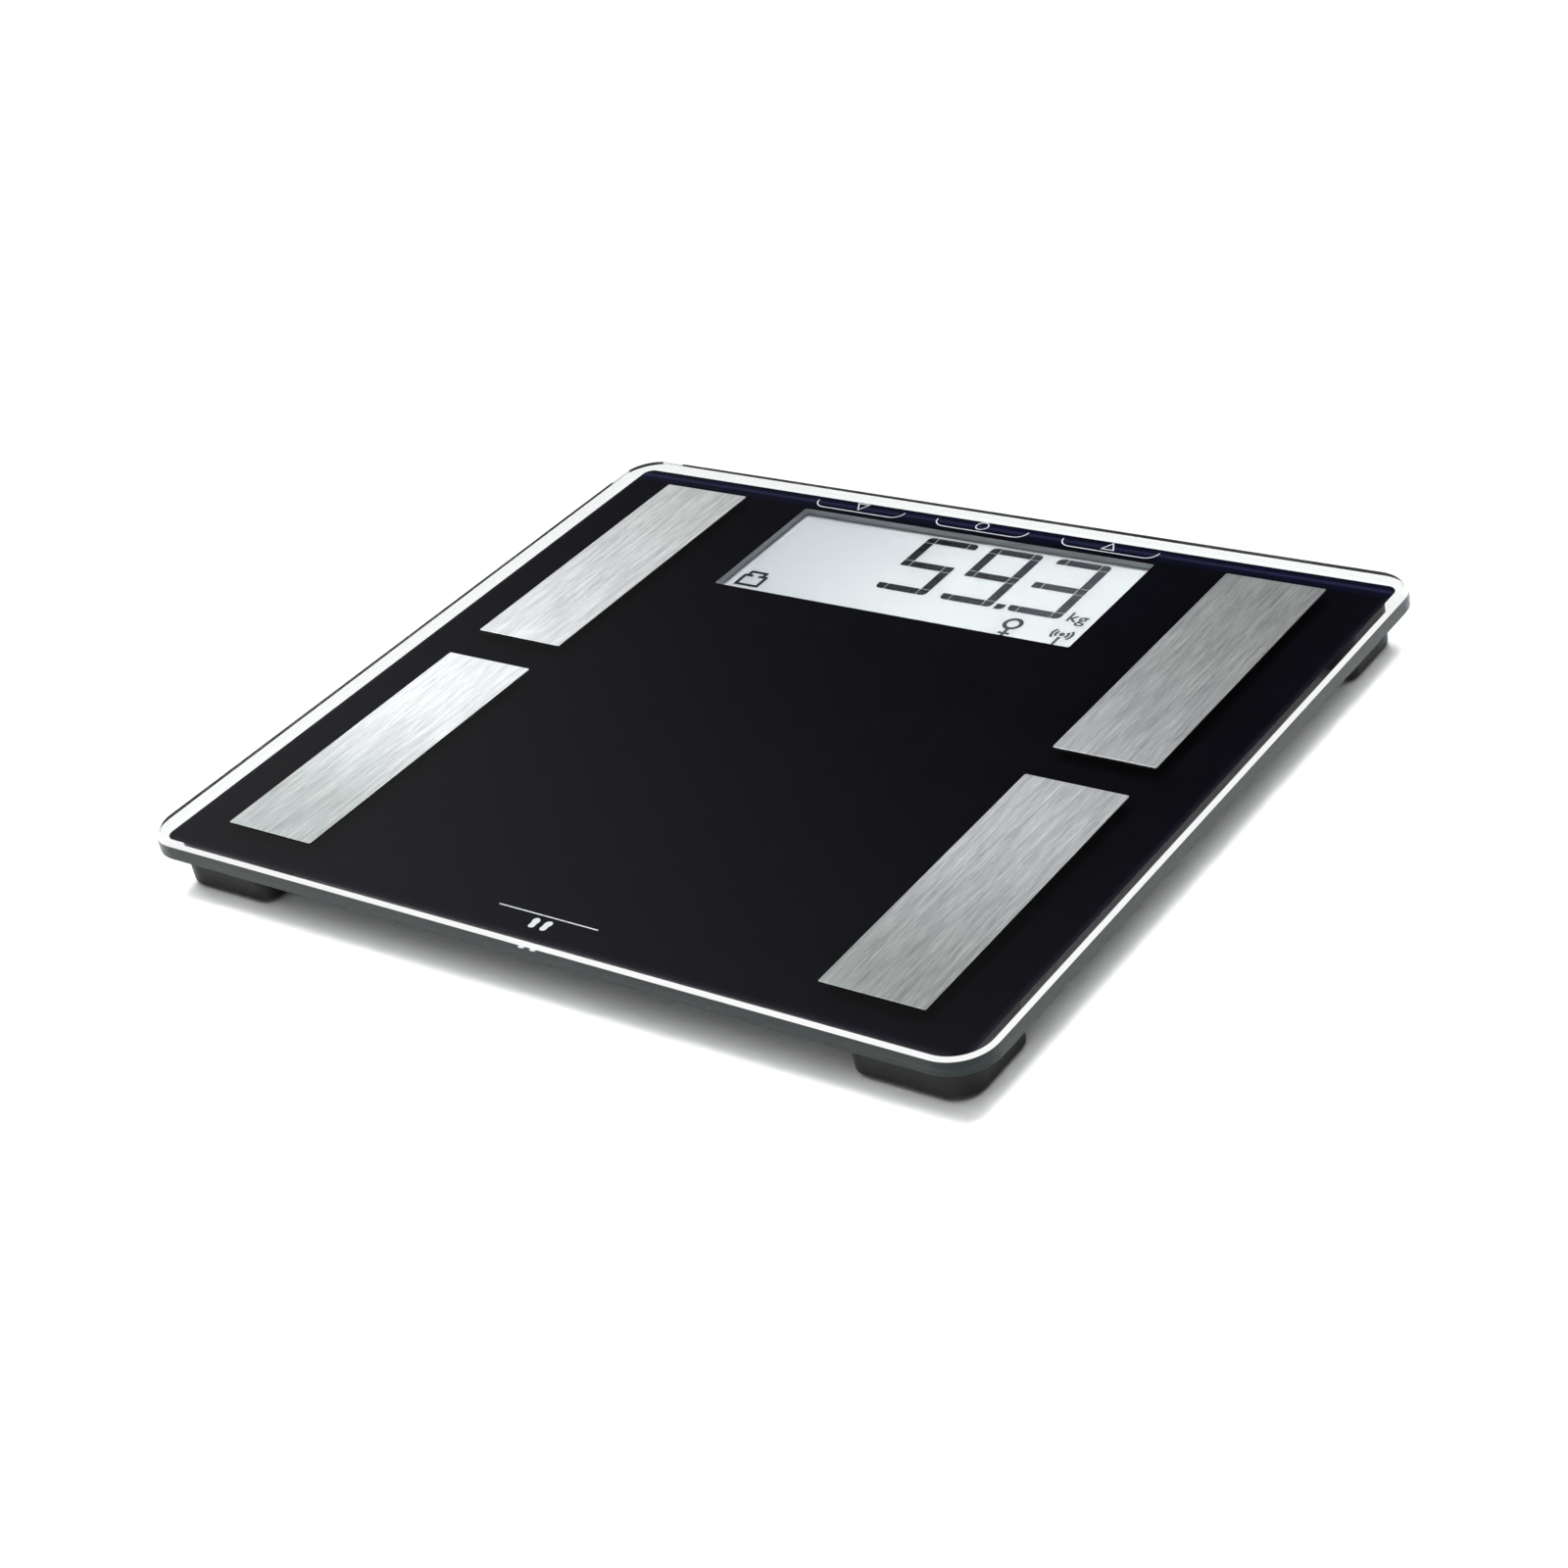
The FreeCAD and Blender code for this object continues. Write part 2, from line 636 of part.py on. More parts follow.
# Display: a pale frame around a two-sheet liquid-crystal cell with a reflector behind it
def make_display_frame():
    body = new_body("display_frame", 0, 0, 0)
    frame_drop = 1.85
    frame_gap = 0.05
    frame_margin = 6.6
    pocket_margin = 3.2
    opening_margin = 0.4
    leg_size = 4.4
    frame_bottom = lcd_top - frame_drop
    frame_top = print_bottom - frame_gap
    centre = (window_x, window_y, frame_bottom)
    outer = (window_width + frame_margin, window_depth + frame_margin, frame_top - frame_bottom)
    block(body, "Pad", "outer", outer, centre, 2.0)
    pocket = (window_width + pocket_margin, window_depth + pocket_margin, lcd_top - frame_bottom)
    block(body, "Pocket", "lcd_pocket", pocket, centre, 0.5)
    opening = (window_width + opening_margin, window_depth + opening_margin, frame_top - lcd_top)
    block(body, "Pocket", "opening", opening, (window_x, window_y, lcd_top), window_corner)
    for side in (-1, 1):
        for row in (-1, 1):
            x = window_x + side * (window_width / 2 + 0.9)
            y = window_y + row * (window_depth / 2 + 0.1)
            leg = (leg_size, leg_size, frame_bottom - pcb_top)
            block(body, "Pad", f"leg_{side + 1}_{row + 1}", leg, (x, y, pcb_top))


def make_lcd():
    cell_margin = 2.8
    film_margin = 0.4
    strip_inset = 1.6
    strip_length = 120.0
    strip_width = 2.0
    width = window_width + cell_margin
    depth = window_depth + cell_margin
    body = new_body("lcd_cell", window_x, window_y, lcd_top - 2 * lcd_sheet)
    block(body, "Pad", "rear_sheet", (width, depth - lcd_ledge, lcd_sheet), (0, lcd_ledge / 2, 0))
    block(body, "Pad", "front_sheet", (width, depth, lcd_sheet), (0, 0, lcd_sheet))
    reflector_z = lcd_top - 2 * lcd_sheet - reflector_thick
    body = new_body("lcd_reflector", window_x, window_y, reflector_z)
    sheet_size = (width - film_margin, depth - lcd_ledge - film_margin, reflector_thick)
    block(body, "Pad", "sheet", sheet_size, (0, lcd_ledge / 2, 0))
    strip_z = lcd_top - lcd_sheet
    at_y = window_y - depth / 2 + strip_inset
    body = new_body("zebra_connector", window_x, at_y, pcb_top)
    block(body, "Pad", "strip", (strip_length, strip_width, strip_z - pcb_top))


# Circuit board with its controller, radio module and key switches
def make_electronics():
    body = new_body("circuit_board", window_x, pcb_y, pcb_z)
    block(body, "Pad", "board", (pcb_width, pcb_depth, pcb_thick), corner=1.5)
    chip_x = window_x - 28.0
    chip_y = pcb_y - 2.0
    chip_side = 12.0
    chip_height = 1.4
    body = new_body("controller_chip", chip_x, chip_y, pcb_top)
    block(body, "Pad", "package", (chip_side, chip_side, chip_height), corner=0.4)
    radio_x = window_x + 44.0
    radio_y = pcb_y - 6.0
    radio_board = (16.0, 12.0, 0.8)
    radio_shield = (12.0, 10.0, 1.6)
    shield_shift = -1.5
    body = new_body("radio_module", radio_x, radio_y, pcb_top)
    block(body, "Pad", "board", radio_board)
    block(body, "Pad", "shield", radio_shield, (shield_shift, 0, radio_board[2]), 0.5)
    switches = []
    switch_width = 6.0
    switch_height = 2.9
    bore_play = 0.1
    bore_depth = 3.4
    for name, place_x in KEYS.items():
        x = window_x + place_x * key_pitch
        case_size = (switch_width, switch_depth, switch_height)
        case = centred_box(f"switch_case_{name}", case_size, (x, switch_y, pcb_top))
        mouth = (x, switch_y + switch_depth / 2, key_z)
        bore_radius = plunger_radius + bore_play
        bore = cylinder(f"switch_bore_{name}", bore_radius, bore_depth, mouth, (0, -1, 0))
        switches.append(cut(f"switch_{name}", case, bore))
    group("key_switches", switches)


# Keys: three push buttons in the housing's rear wall, each on its switch's plunger
def make_key(name, place_x):
    x = window_x + place_x * key_pitch
    body = new_body(f"key_{name}", x, 0, 0)
    wall_play = 0.4
    flange_thick = 1.0
    flange_lap = 0.6
    flange_width = key_width + 2.0
    cap_root = 0.5
    plunger_sunk = 2.1
    flange_rear = housing_rear - cover_wall - wall_play
    low = key_z - key_height / 2
    cap_depth = housing_rear + key_reach - flange_rear + cap_root
    cap = (key_width, cap_depth, key_height)
    block(body, "Pad", "cap", cap, (0, housing_rear + key_reach - cap_depth / 2, low), 0.4)
    flange = (flange_width, flange_thick, key_height + 2 * flange_lap)
    block(body, "Pad", "flange", flange, (0, flange_rear - flange_thick / 2, low - flange_lap))
    plunger_end = flange_rear - flange_thick
    start = switch_y + switch_depth / 2 - plunger_sunk
    plunger = cylinder(f"plunger_{name}", plunger_radius, plunger_end - start, (x, start, key_z), (0, 1, 0))
    finish(plunger, f"switch_plunger_{name}")


# Batteries: three slim cells in series, between sprung contact strips
def make_batteries():
    nub_radius = 1.9
    nub_height = 0.8
    for name, row in (("front", -1), ("middle", 0), ("rear", 1)):
        y = bay_y + row * battery_pitch
        z = housing_floor + battery_radius
        direction = 1 if row == 0 else -1
        x = window_x - direction * battery_length / 2
        can = cylinder(f"can_{name}", battery_radius, battery_length, (x, y, z), (direction, 0, 0))
        nub_x = window_x + direction * battery_length / 2
        nub = cylinder(f"nub_{name}", nub_radius, nub_height, (nub_x, y, z), (direction, 0, 0))
        finish(fuse(f"cell_{name}", [can, nub]), f"battery_{name}")


def make_battery_contacts():
    strips = []
    strip_thick = 0.4
    strip_side = 8.0
    rib_inset = 0.6
    rib_radius = 0.55
    rib_length = 6.0
    for name, side in (("left", -1), ("right", 1)):
        for row in (-1, 0, 1):
            y = bay_y + row * battery_pitch
            axis_z = housing_floor + battery_radius
            x = window_x + side * (bay_length / 2 - strip_thick / 2)
            strip_size = (strip_thick, strip_side, strip_side)
            strip = centred_box(f"strip_{name}_{row + 1}", strip_size, (x, y, axis_z - strip_side / 2))
            rib_at = (window_x + side * (bay_length / 2 - rib_inset), y - rib_length / 2, axis_z)
            rib = cylinder(f"rib_{name}_{row + 1}", rib_radius, rib_length, rib_at, (0, 1, 0))
            strips.append(fuse(f"contact_{name}_{row + 1}", [strip, rib]))
    group("battery_contacts", strips)


# Battery door: it tips on two tongues at its rear edge
def make_battery_door():
    body = new_body("battery_door", 0, 0, 0)
    plate = (bay_length - 2 * door_gap, bay_depth - 2 * door_gap, door_thick)
    block(body, "Pad", "plate", plate, (window_x, bay_y, housing_bottom), 1.0)
    rear = bay_y + bay_depth / 2 - door_gap
    neck_z = housing_bottom + door_thick
    neck_thick = 1.0
    neck_height = 1.2
    tongue_reach = 2.7
    tongue_thick = 0.85
    tongue_rise = 0.35
    latch_width = 12.0
    latch_thick = 1.2
    latch_height = 1.5
    for side in (-1, 1):
        x = window_x + side * tongue_x
        neck = (tongue_width, neck_thick, neck_height)
        block(body, "Pad", f"neck_{side + 1}", neck, (x, rear - neck_thick / 2, neck_z))
        tongue = (tongue_width, tongue_reach, tongue_thick)
        tongue_at = (x, rear - neck_thick + tongue_reach / 2, neck_z + tongue_rise)
        block(body, "Pad", f"tongue_{side + 1}", tongue, tongue_at)
    front = bay_y - bay_depth / 2 + door_gap
    latch = (latch_width, latch_thick, latch_height)
    block(body, "Pad", "latch", latch, (window_x, front + latch_thick / 2, neck_z))


# Leads: straight runs joined by tangent arcs
def lead_shape(points, radius, bend):
    """A round tube along the points, with an arc of the given radius at each inner point."""
    vectors = [FreeCAD.Vector(*[as_size(value).number for value in point]) for point in points]
    edges = []
    start = vectors[0]
    for before, corner, after in zip(vectors, vectors[1:], vectors[2:]):
        into = (corner - before).normalize()
        away = (after - corner).normalize()
        turn = into.getAngle(away)
        shorter = min((corner - before).Length, (after - corner).Length)
        arc_radius = min(bend, 0.45 * shorter / math.tan(turn / 2))
        reach = arc_radius * math.tan(turn / 2)
        arc_start = corner - into * reach
        arc_end = corner + away * reach
        towards = (away - into).normalize()
        centre = corner + towards * (arc_radius / math.cos(turn / 2))
        middle = centre - towards * arc_radius
        edges.append(Part.LineSegment(start, arc_start).toShape())
        edges.append(Part.Arc(arc_start, middle, arc_end).toShape())
        start = arc_end
    edges.append(Part.LineSegment(start, vectors[-1]).toShape())
    spine = Part.Wire(edges)
    direction = (vectors[1] - vectors[0]).normalize()
    section = Part.Wire([Part.makeCircle(radius, vectors[0], direction)])
    tube = spine.makePipeShell([section], True, True)
    expected = math.pi * radius ** 2 * spine.Length
    if abs(tube.Volume - expected) > 0.02 * expected:
        raise RuntimeError("a lead's volume doesn't match its length")
    return tube


def make_lead(label, points, radius):
    lead = document.addObject("Part::Feature", label)
    lead.Shape = lead_shape(points, radius.number, lead_bend.number)
    finish(lead, label)


def housing_side(side):
    return window_x + side * housing_width / 2


def sensor_route(side, end):
    """From inside a foot to the circuit board."""
    y = end * (foot_y - lead_offset)
    foot_side = side * (foot_x - foot_width / 2)
    board_z = pcb_top + sensor_lead + solder_gap
    start = [
        (side * (foot_x - 4), y, foot_lead_z),
        (foot_side - side * 4, y, foot_lead_z),
        (foot_side - side * 10, y, lead_z),
    ]
    if end > 0:
        wall = housing_side(side)
        return start + [
            (wall - side * 3.5, y, lead_z),
            (wall - side * 8.5, y, board_z),
            (wall - side * 15, y, board_z),
        ]
    entry_x = window_x + side * sensor_entry
    return start + [
        (side * 84, y, lead_z),
        (side * 66, -62, lead_z),
        (entry_x, -30, lead_z),
        (entry_x, 47, lead_z),
        (entry_x, 54, board_z),
        (entry_x, 61.2, board_z),
    ]


def electrode_route(side, end):
    """From a contact pin to the circuit board."""
    x = side * electrode_x
    y = end * pin_y
    wall = housing_side(side)
    board_z = pcb_top + electrode_lead + solder_gap
    if end > 0:
        return [
            (x, y, lead_z),
            (x - side * 4, 42, lead_z),
            (wall + side * 12, rear_entry, lead_z),
            (wall - side * 3.5, rear_entry, lead_z),
            (wall - side * 8.5, rear_entry, board_z),
            (wall - side * 15, rear_entry, board_z),
        ]
    return [
        (x, y, lead_z),
        (x - side * 4, 8, lead_z),
        (wall + side * 12, front_entry, lead_z),
        (wall - side * 5, front_entry, lead_z),
        (wall - side * 14, 51, 8.5),
        (wall - side * 22, 56, board_z),
        (wall - side * 22, 61.2, board_z),
    ]


def rim_entries():
    """Where the leads cross the rim: name, place, and whether they cross along X."""
    for corner, (side, end) in CORNERS.items():
        side_x = housing_side(side) - side * rim_wall / 2
        yield f"electrode_{corner}", side_x, rear_entry if end > 0 else front_entry, True
        if end > 0:
            yield f"sensor_{corner}", side_x, end * (foot_y - lead_offset), True
        else:
            front_y = housing_rear - housing_depth + rim_wall / 2
            yield f"sensor_{corner}", window_x + side * sensor_entry, front_y, False


def make_lead_clips():
    """Taped saddles that hold the leads up against the glass."""
    clips = []
    places = []
    saddle_width = 8.0
    saddle_length = 5.0
    saddle_wall = 0.9
    tunnel_play = 0.1
    tunnel_length = 7.0
    for side in (-1, 1):
        entry_x = window_x + side * sensor_entry
        places.append((f"front_{side + 1}", entry_x, -14.0))
        places.append((f"rear_{side + 1}", entry_x, 8.0))
    for name, x, y in places:
        low = lead_z - sensor_lead - saddle_wall
        saddle_size = (saddle_width, saddle_length, print_bottom - low)
        saddle = centred_box(f"saddle_{name}", saddle_size, (x, y, low))
        start = (x, y - tunnel_length / 2, lead_z)
        tunnel = cylinder(f"tunnel_{name}", sensor_lead + tunnel_play, tunnel_length, start, (0, 1, 0))
        clips.append(cut(f"clip_{name}", saddle, tunnel))
    group("lead_clips", clips)


make_glass()
make_print()
make_contact_pins()
make_bracket_tapes()
for corner, (side, end) in CORNERS.items():
    make_electrode(corner, side, end)
    make_foot_cup(corner, side, end)
    make_foot_sole(corner, side, end)
    make_load_cell(corner, side, end)
    make_strain_gauge(corner, side, end)
    make_foot_bracket(corner, side, end)
    make_lead(f"sensor_lead_{corner}", sensor_route(side, end), sensor_lead)
    make_lead(f"electrode_lead_{corner}", electrode_route(side, end), electrode_lead)
make_lead_clips()
make_housing_rim()
make_housing_tape()
make_housing_cover()
make_cover_screws()
make_display_frame()
make_lcd()
make_electronics()
for name, place_x in KEYS.items():
    make_key(name, place_x)
make_batteries()
make_battery_contacts()
make_battery_door()
document.recompute()

for thing in document.Objects:
    if "Invalid" in thing.State or "Error" in thing.State:
        raise RuntimeError(f"{thing.Label} failed: {thing.State}")
for base, feature in cuts:
    if feature.Shape.Volume > base.Shape.Volume - 0.01:
        raise RuntimeError(f"{feature.Label} of {feature.getParentGeoFeatureGroup().Label} cuts nothing")
for part in finished:
    if part.Shape.isNull() or not part.Shape.isValid():
        raise RuntimeError(f"{part.Label} has no valid shape")
for part in finished:
    part.Shape.exportStep(f"parts/{part.Label}.step")
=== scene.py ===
import math

import bmesh
import bpy
from mathutils import Matrix, Vector


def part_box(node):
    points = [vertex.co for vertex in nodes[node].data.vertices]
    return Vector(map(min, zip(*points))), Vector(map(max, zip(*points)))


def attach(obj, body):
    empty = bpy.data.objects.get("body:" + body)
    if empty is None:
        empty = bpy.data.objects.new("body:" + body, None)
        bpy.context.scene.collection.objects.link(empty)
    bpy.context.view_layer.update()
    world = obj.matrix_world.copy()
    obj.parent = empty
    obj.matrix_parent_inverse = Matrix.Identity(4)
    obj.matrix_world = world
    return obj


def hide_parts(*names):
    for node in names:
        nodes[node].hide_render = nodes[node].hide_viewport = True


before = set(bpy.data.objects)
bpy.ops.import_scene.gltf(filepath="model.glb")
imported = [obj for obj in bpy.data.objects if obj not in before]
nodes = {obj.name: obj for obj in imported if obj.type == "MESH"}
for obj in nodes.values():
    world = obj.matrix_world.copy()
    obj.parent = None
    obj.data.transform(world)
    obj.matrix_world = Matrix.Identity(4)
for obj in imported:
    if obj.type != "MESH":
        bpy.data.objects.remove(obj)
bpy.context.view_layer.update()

scene = bpy.context.scene

# Camera. A fairly long lens on a tall stand, in front of the right front corner.
# It looks down on the glass and leans a little, so the rear edge falls away to the right.
MM = 0.001
lens_mm = 69.23
sensor_mm = 36.0
near_limit = 0.01
camera_azimuth = 41.867
camera_elevation = 31.309
camera_roll = -12.24
camera_distance = 892.9 * MM
camera_target = Vector((28.7, -36.6, 20.0)) * MM
camera_turn = (
    Matrix.Rotation(math.radians(camera_azimuth), 4, "Z")
    @ Matrix.Rotation(math.radians(90.0 - camera_elevation), 4, "X")
    @ Matrix.Rotation(math.radians(camera_roll), 4, "Z")
)
camera_data = bpy.data.cameras.new("product_camera")
camera_data.lens = lens_mm
camera_data.sensor_width = sensor_mm
camera_data.clip_start = near_limit
camera = bpy.data.objects.new("product_camera", camera_data)
camera_back = camera_turn @ Vector((0.0, 0.0, 1.0))
camera.matrix_world = Matrix.Translation(camera_target + camera_back * camera_distance) @ camera_turn
scene.collection.objects.link(camera)
scene.camera = camera
scene.view_settings.view_transform = "Standard"

# Studio floor. A table top painted white, wide enough to run out of sight on every side.
# It only catches the shadow, and it lets the light from beneath through.


def linear(hex_colour):
    """An sRGB hex colour as the linear RGBA that a shader takes."""
    values = [int(hex_colour[i : i + 2], 16) / 255 for i in (1, 3, 5)]
    return tuple(v / 12.92 if v <= 0.04045 else ((v + 0.055) / 1.055) ** 2.4 for v in values) + (1.0,)


def add_node(tree, kind, sockets, **settings):
    """Adds a node. Each socket gets a value, or a link from another node or its output."""
    added = tree.nodes.new("ShaderNode" + kind)
    for name, value in settings.items():
        setattr(added, name, value)
    for name, value in sockets.items():
        source = value.outputs[0] if isinstance(value, bpy.types.Node) else value
        if isinstance(source, bpy.types.NodeSocket):
            tree.links.new(source, added.inputs[name])
        else:
            added.inputs[name].default_value = source
    return added


def new_finish(name, colour, roughness, **constants):
    """A material with one Principled shader. Returns it, its nodes, the shader and the place in metres."""
    finish = bpy.data.materials.new(name)
    finish.use_nodes = True
    tree = finish.node_tree
    shader = tree.nodes["Principled BSDF"]
    shader.inputs["Base Color"].default_value = linear(colour)
    shader.inputs["Roughness"].default_value = roughness
    for socket, value in constants.items():
        shader.inputs[socket.replace("_", " ")].default_value = value
    place = add_node(tree, "TexCoord", {}).outputs["Object"]
    return finish, tree, shader, place


floor_half = 60.0
floor_corners = [(-1, -1), (1, -1), (1, 1), (-1, 1)]
floor_mesh = bpy.data.meshes.new("studio_floor")
floor_mesh.from_pydata([(x * floor_half, y * floor_half, 0.0) for x, y in floor_corners], [], [(0, 1, 2, 3)])
floor = bpy.data.objects.new("studio_floor", floor_mesh)
scene.collection.objects.link(floor)
# White emulsion, rolled: even and matt, with a very faint mottle. Seen from beneath it is clear.
roller_mottle = 30 * MM
floor_paint, tree, shader, place = new_finish("rolled_white_emulsion", "#f6f6f6", roughness=0.6)
mottle = add_node(tree, "TexNoise", {"Vector": place, "Scale": 1 / roller_mottle, "Detail": 3.0})
paint = add_node(
    tree,
    "MixRGB",
    {"Fac": mottle, "Color1": linear("#f5f5f5"), "Color2": linear("#f8f8f8")},
)
tree.links.new(paint.outputs[0], shader.inputs["Base Color"])
beneath = add_node(tree, "NewGeometry", {}).outputs["Backfacing"]
lamp_ray = add_node(tree, "LightPath", {}).outputs["Is Shadow Ray"]
clear_share = add_node(tree, "Math", {0: beneath, 1: lamp_ray}, operation="MAXIMUM")
see_through = add_node(tree, "BsdfTransparent", {})
floor_mix = add_node(tree, "MixShader", {0: clear_share, 1: shader, 2: see_through})
tree.links.new(floor_mix.outputs[0], tree.nodes["Material Output"].inputs["Surface"])
floor_mesh.materials.append(floor_paint)

# Studio light. A broad white ceiling, grey walls in front and almost black ones behind the table.
# The dark walls stand in for black flags, which keep the polished glass black.
overhead_level = 1.15
front_level = 0.22
rear_level = 0.015
walls_top = 0.66
ceiling_rim = 0.84
front_wall_end = 0.48
rear_wall_start = 0.73
world = bpy.data.worlds.new("studio_light")
world.use_nodes = True
scene.world = world
tree = world.node_tree
direction = add_node(tree, "TexCoord", {}).outputs["Generated"]
heading = add_node(tree, "SeparateXYZ", {"Vector": direction})
wall_level = add_node(
    tree,
    "MapRange",
    {
        "Value": heading.outputs["Y"],
        "From Min": front_wall_end,
        "From Max": rear_wall_start,
        "To Min": front_level,
        "To Max": rear_level,
    },
    interpolation_type="SMOOTHSTEP",
)
level = add_node(
    tree,
    "MapRange",
    {
        "Value": heading.outputs["Z"],
        "From Min": walls_top,
        "From Max": ceiling_rim,
        "To Min": wall_level,
        "To Max": overhead_level,
    },
    interpolation_type="SMOOTHSTEP",
)
background = tree.nodes["Background"]
background.inputs["Color"].default_value = linear("#ffffff")
tree.links.new(level.outputs[0], background.inputs["Strength"])

# Lamps. A soft sun high at the left rear throws the shadow forwards, to the right.
# A weak, broad one shines up through the floor, so the underside can be seen too.
sun_level = 2.5
sun_spread = 20.0
sun_height = 62.0
sun_azimuth = 128.0
sun_data = bpy.data.lights.new("rear_left_light", "SUN")
sun_data.energy = sun_level
sun_data.angle = math.radians(sun_spread)
sun = bpy.data.objects.new("rear_left_light", sun_data)
sun.matrix_world = (
    Matrix.Rotation(math.radians(sun_azimuth + 90.0), 4, "Z")
    @ Matrix.Rotation(math.radians(90.0 - sun_height), 4, "X")
)
scene.collection.objects.link(sun)
under_level = 2.4
under_spread = 60.0
under_tilt = 160.0
under_data = bpy.data.lights.new("underside_light", "SUN")
under_data.energy = under_level
under_data.angle = math.radians(under_spread)
under = bpy.data.objects.new("underside_light", under_data)
under.matrix_world = Matrix.Rotation(math.radians(under_tilt), 4, "X")
scene.collection.objects.link(under)


def dress(finish, *names):
    """Gives CAD nodes their finish."""
    for name in names:
        nodes[name].material_slots[0].material = finish


def clear_glass(name, ior, roughness=0.0):
    """Glass that refracts, and lets the lamps' light through. Returns what new_finish does."""
    finish, tree, shader, place = new_finish(
        name, "#ffffff", roughness, IOR=ior, Transmission_Weight=1.0
    )
    lamp_ray = add_node(tree, "LightPath", {}).outputs["Is Shadow Ray"]
    passing = add_node(tree, "BsdfTransparent", {"Color": linear("#fafbfb")})
    mixed = add_node(tree, "MixShader", {0: lamp_ray, 1: shader, 2: passing})
    tree.links.new(mixed.outputs[0], tree.nodes["Material Output"].inputs["Surface"])
    return finish, tree, shader, place


# Soda-lime float glass, tempered: clear from above, and green where the light runs along the sheet.
# Its sides are ground with a fine wheel, which blurs what they show and breaks it up a little.
float_glass_ior = 1.52
flat_rise = 0.98
side_rise = 0.3
ground_roughness = 0.08
grinding_pitch = 0.9 * MM
grinding_depth = 0.01 * MM
grinding_strength = 0.06
green_density = 12.0
float_glass, tree, shader, place = clear_glass("tempered_float_glass", float_glass_ior)
facing = add_node(tree, "TexCoord", {}).outputs["Normal"]
rise = add_node(tree, "SeparateXYZ", {"Vector": facing}).outputs["Z"]
steep = add_node(tree, "Math", {0: rise}, operation="ABSOLUTE")
ground = add_node(
    tree,
    "MapRange",
    {
        "Value": steep,
        "From Min": flat_rise,
        "From Max": side_rise,
        "To Min": 0.0,
        "To Max": ground_roughness,
    },
)
tree.links.new(ground.outputs[0], shader.inputs["Roughness"])
grinding = add_node(tree, "TexNoise", {"Vector": place, "Scale": 1 / grinding_pitch, "Detail": 4.0})
ground_share = add_node(
    tree,
    "MapRange",
    {
        "Value": steep,
        "From Min": flat_rise,
        "From Max": side_rise,
        "To Min": 0.0,
        "To Max": grinding_strength,
    },
)
grinding_bump = add_node(
    tree, "Bump", {"Strength": ground_share, "Distance": grinding_depth, "Height": grinding}
)
tree.links.new(grinding_bump.outputs[0], shader.inputs["Normal"])
edge_share = add_node(
    tree,
    "MapRange",
    {"Value": steep, "From Min": flat_rise, "From Max": side_rise, "To Min": 0.0, "To Max": 1.0},
)
edge_tint = add_node(
    tree, "MixRGB", {"Fac": edge_share, "Color1": linear("#ffffff"), "Color2": linear("#cfe6df")}
)
tree.links.new(edge_tint.outputs[0], shader.inputs["Specular Tint"])
absorbed = add_node(tree, "VolumeAbsorption", {"Color": linear("#a3ccc0"), "Density": green_density})
tree.links.new(absorbed.outputs[0], tree.nodes["Material Output"].inputs["Volume"])
# The sloped arris round the top is ground with a coarse wheel and left frosted, so it looks white.
frosted_clearness = 0.15
arris_low = (0.8, 0.87)
arris_high = (0.92, 0.97)
into_arris = add_node(
    tree,
    "MapRange",
    {"Value": rise, "From Min": arris_low[0], "From Max": arris_low[1], "To Min": 0.0, "To Max": 1.0},
)
out_of_arris = add_node(
    tree,
    "MapRange",
    {"Value": rise, "From Min": arris_high[0], "From Max": arris_high[1], "To Min": 1.0, "To Max": 0.0},
)
arris_share = add_node(tree, "Math", {0: into_arris, 1: out_of_arris}, operation="MULTIPLY")
clearness = add_node(
    tree,
    "MapRange",
    {
        "Value": arris_share,
        "From Min": 0.0,
        "From Max": 1.0,
        "To Min": 1.0,
        "To Max": frosted_clearness,
    },
)
tree.links.new(clearness.outputs[0], shader.inputs["Transmission Weight"])
dress(float_glass, "glass_platform")

# Underside print. One coat of near-black ceramic ink under the glass, screen-printed and fired.
# It leaves a clear margin all round, and a window over the display.


def arc(centre, radius, start, end, steps):
    """Points in mm round an arc, its angles in degrees."""
    turns = [math.radians(start + (end - start) * i / max(steps, 1)) for i in range(steps + 1)]
    return [(centre[0] + radius * math.cos(t), centre[1] + radius * math.sin(t)) for t in turns]


def round_rectangle(centre, size, radii, steps=8):
    """Anticlockwise outline in mm. The four radii start at the right rear corner."""
    if not isinstance(radii, (tuple, list)):
        radii = (radii,) * 4
    outline = []
    for (sx, sy), radius, start in zip(((1, 1), (-1, 1), (-1, -1), (1, -1)), radii, (0, 90, 180, 270)):
        middle_x = centre[0] + sx * (size[0] / 2 - radius)
        middle_y = centre[1] + sy * (size[1] / 2 - radius)
        outline += arc((middle_x, middle_y), radius, start, start + 90, steps if radius else 0)
    return outline


def flat_piece(name, outlines, low, high, edge=0.0):
    """A closed flat piece in mm. Rims run anticlockwise and openings clockwise."""
    curve = bpy.data.curves.new(name, "CURVE")
    curve.dimensions = "2D"
    curve.fill_mode = "BOTH"
    curve.extrude = (high - low) / 2 - edge
    curve.bevel_depth = edge
    curve.bevel_resolution = 2
    curve.offset = -edge
    for outline in outlines:
        line = curve.splines.new("POLY")
        line.points.add(len(outline) - 1)
        for point, (x, y) in zip(line.points, outline):
            point.co = (x, y, 0.0, 1.0)
        line.use_cyclic_u = True
    return solid_from_curve(name, curve, (0.0, 0.0, (low + high) / 2))


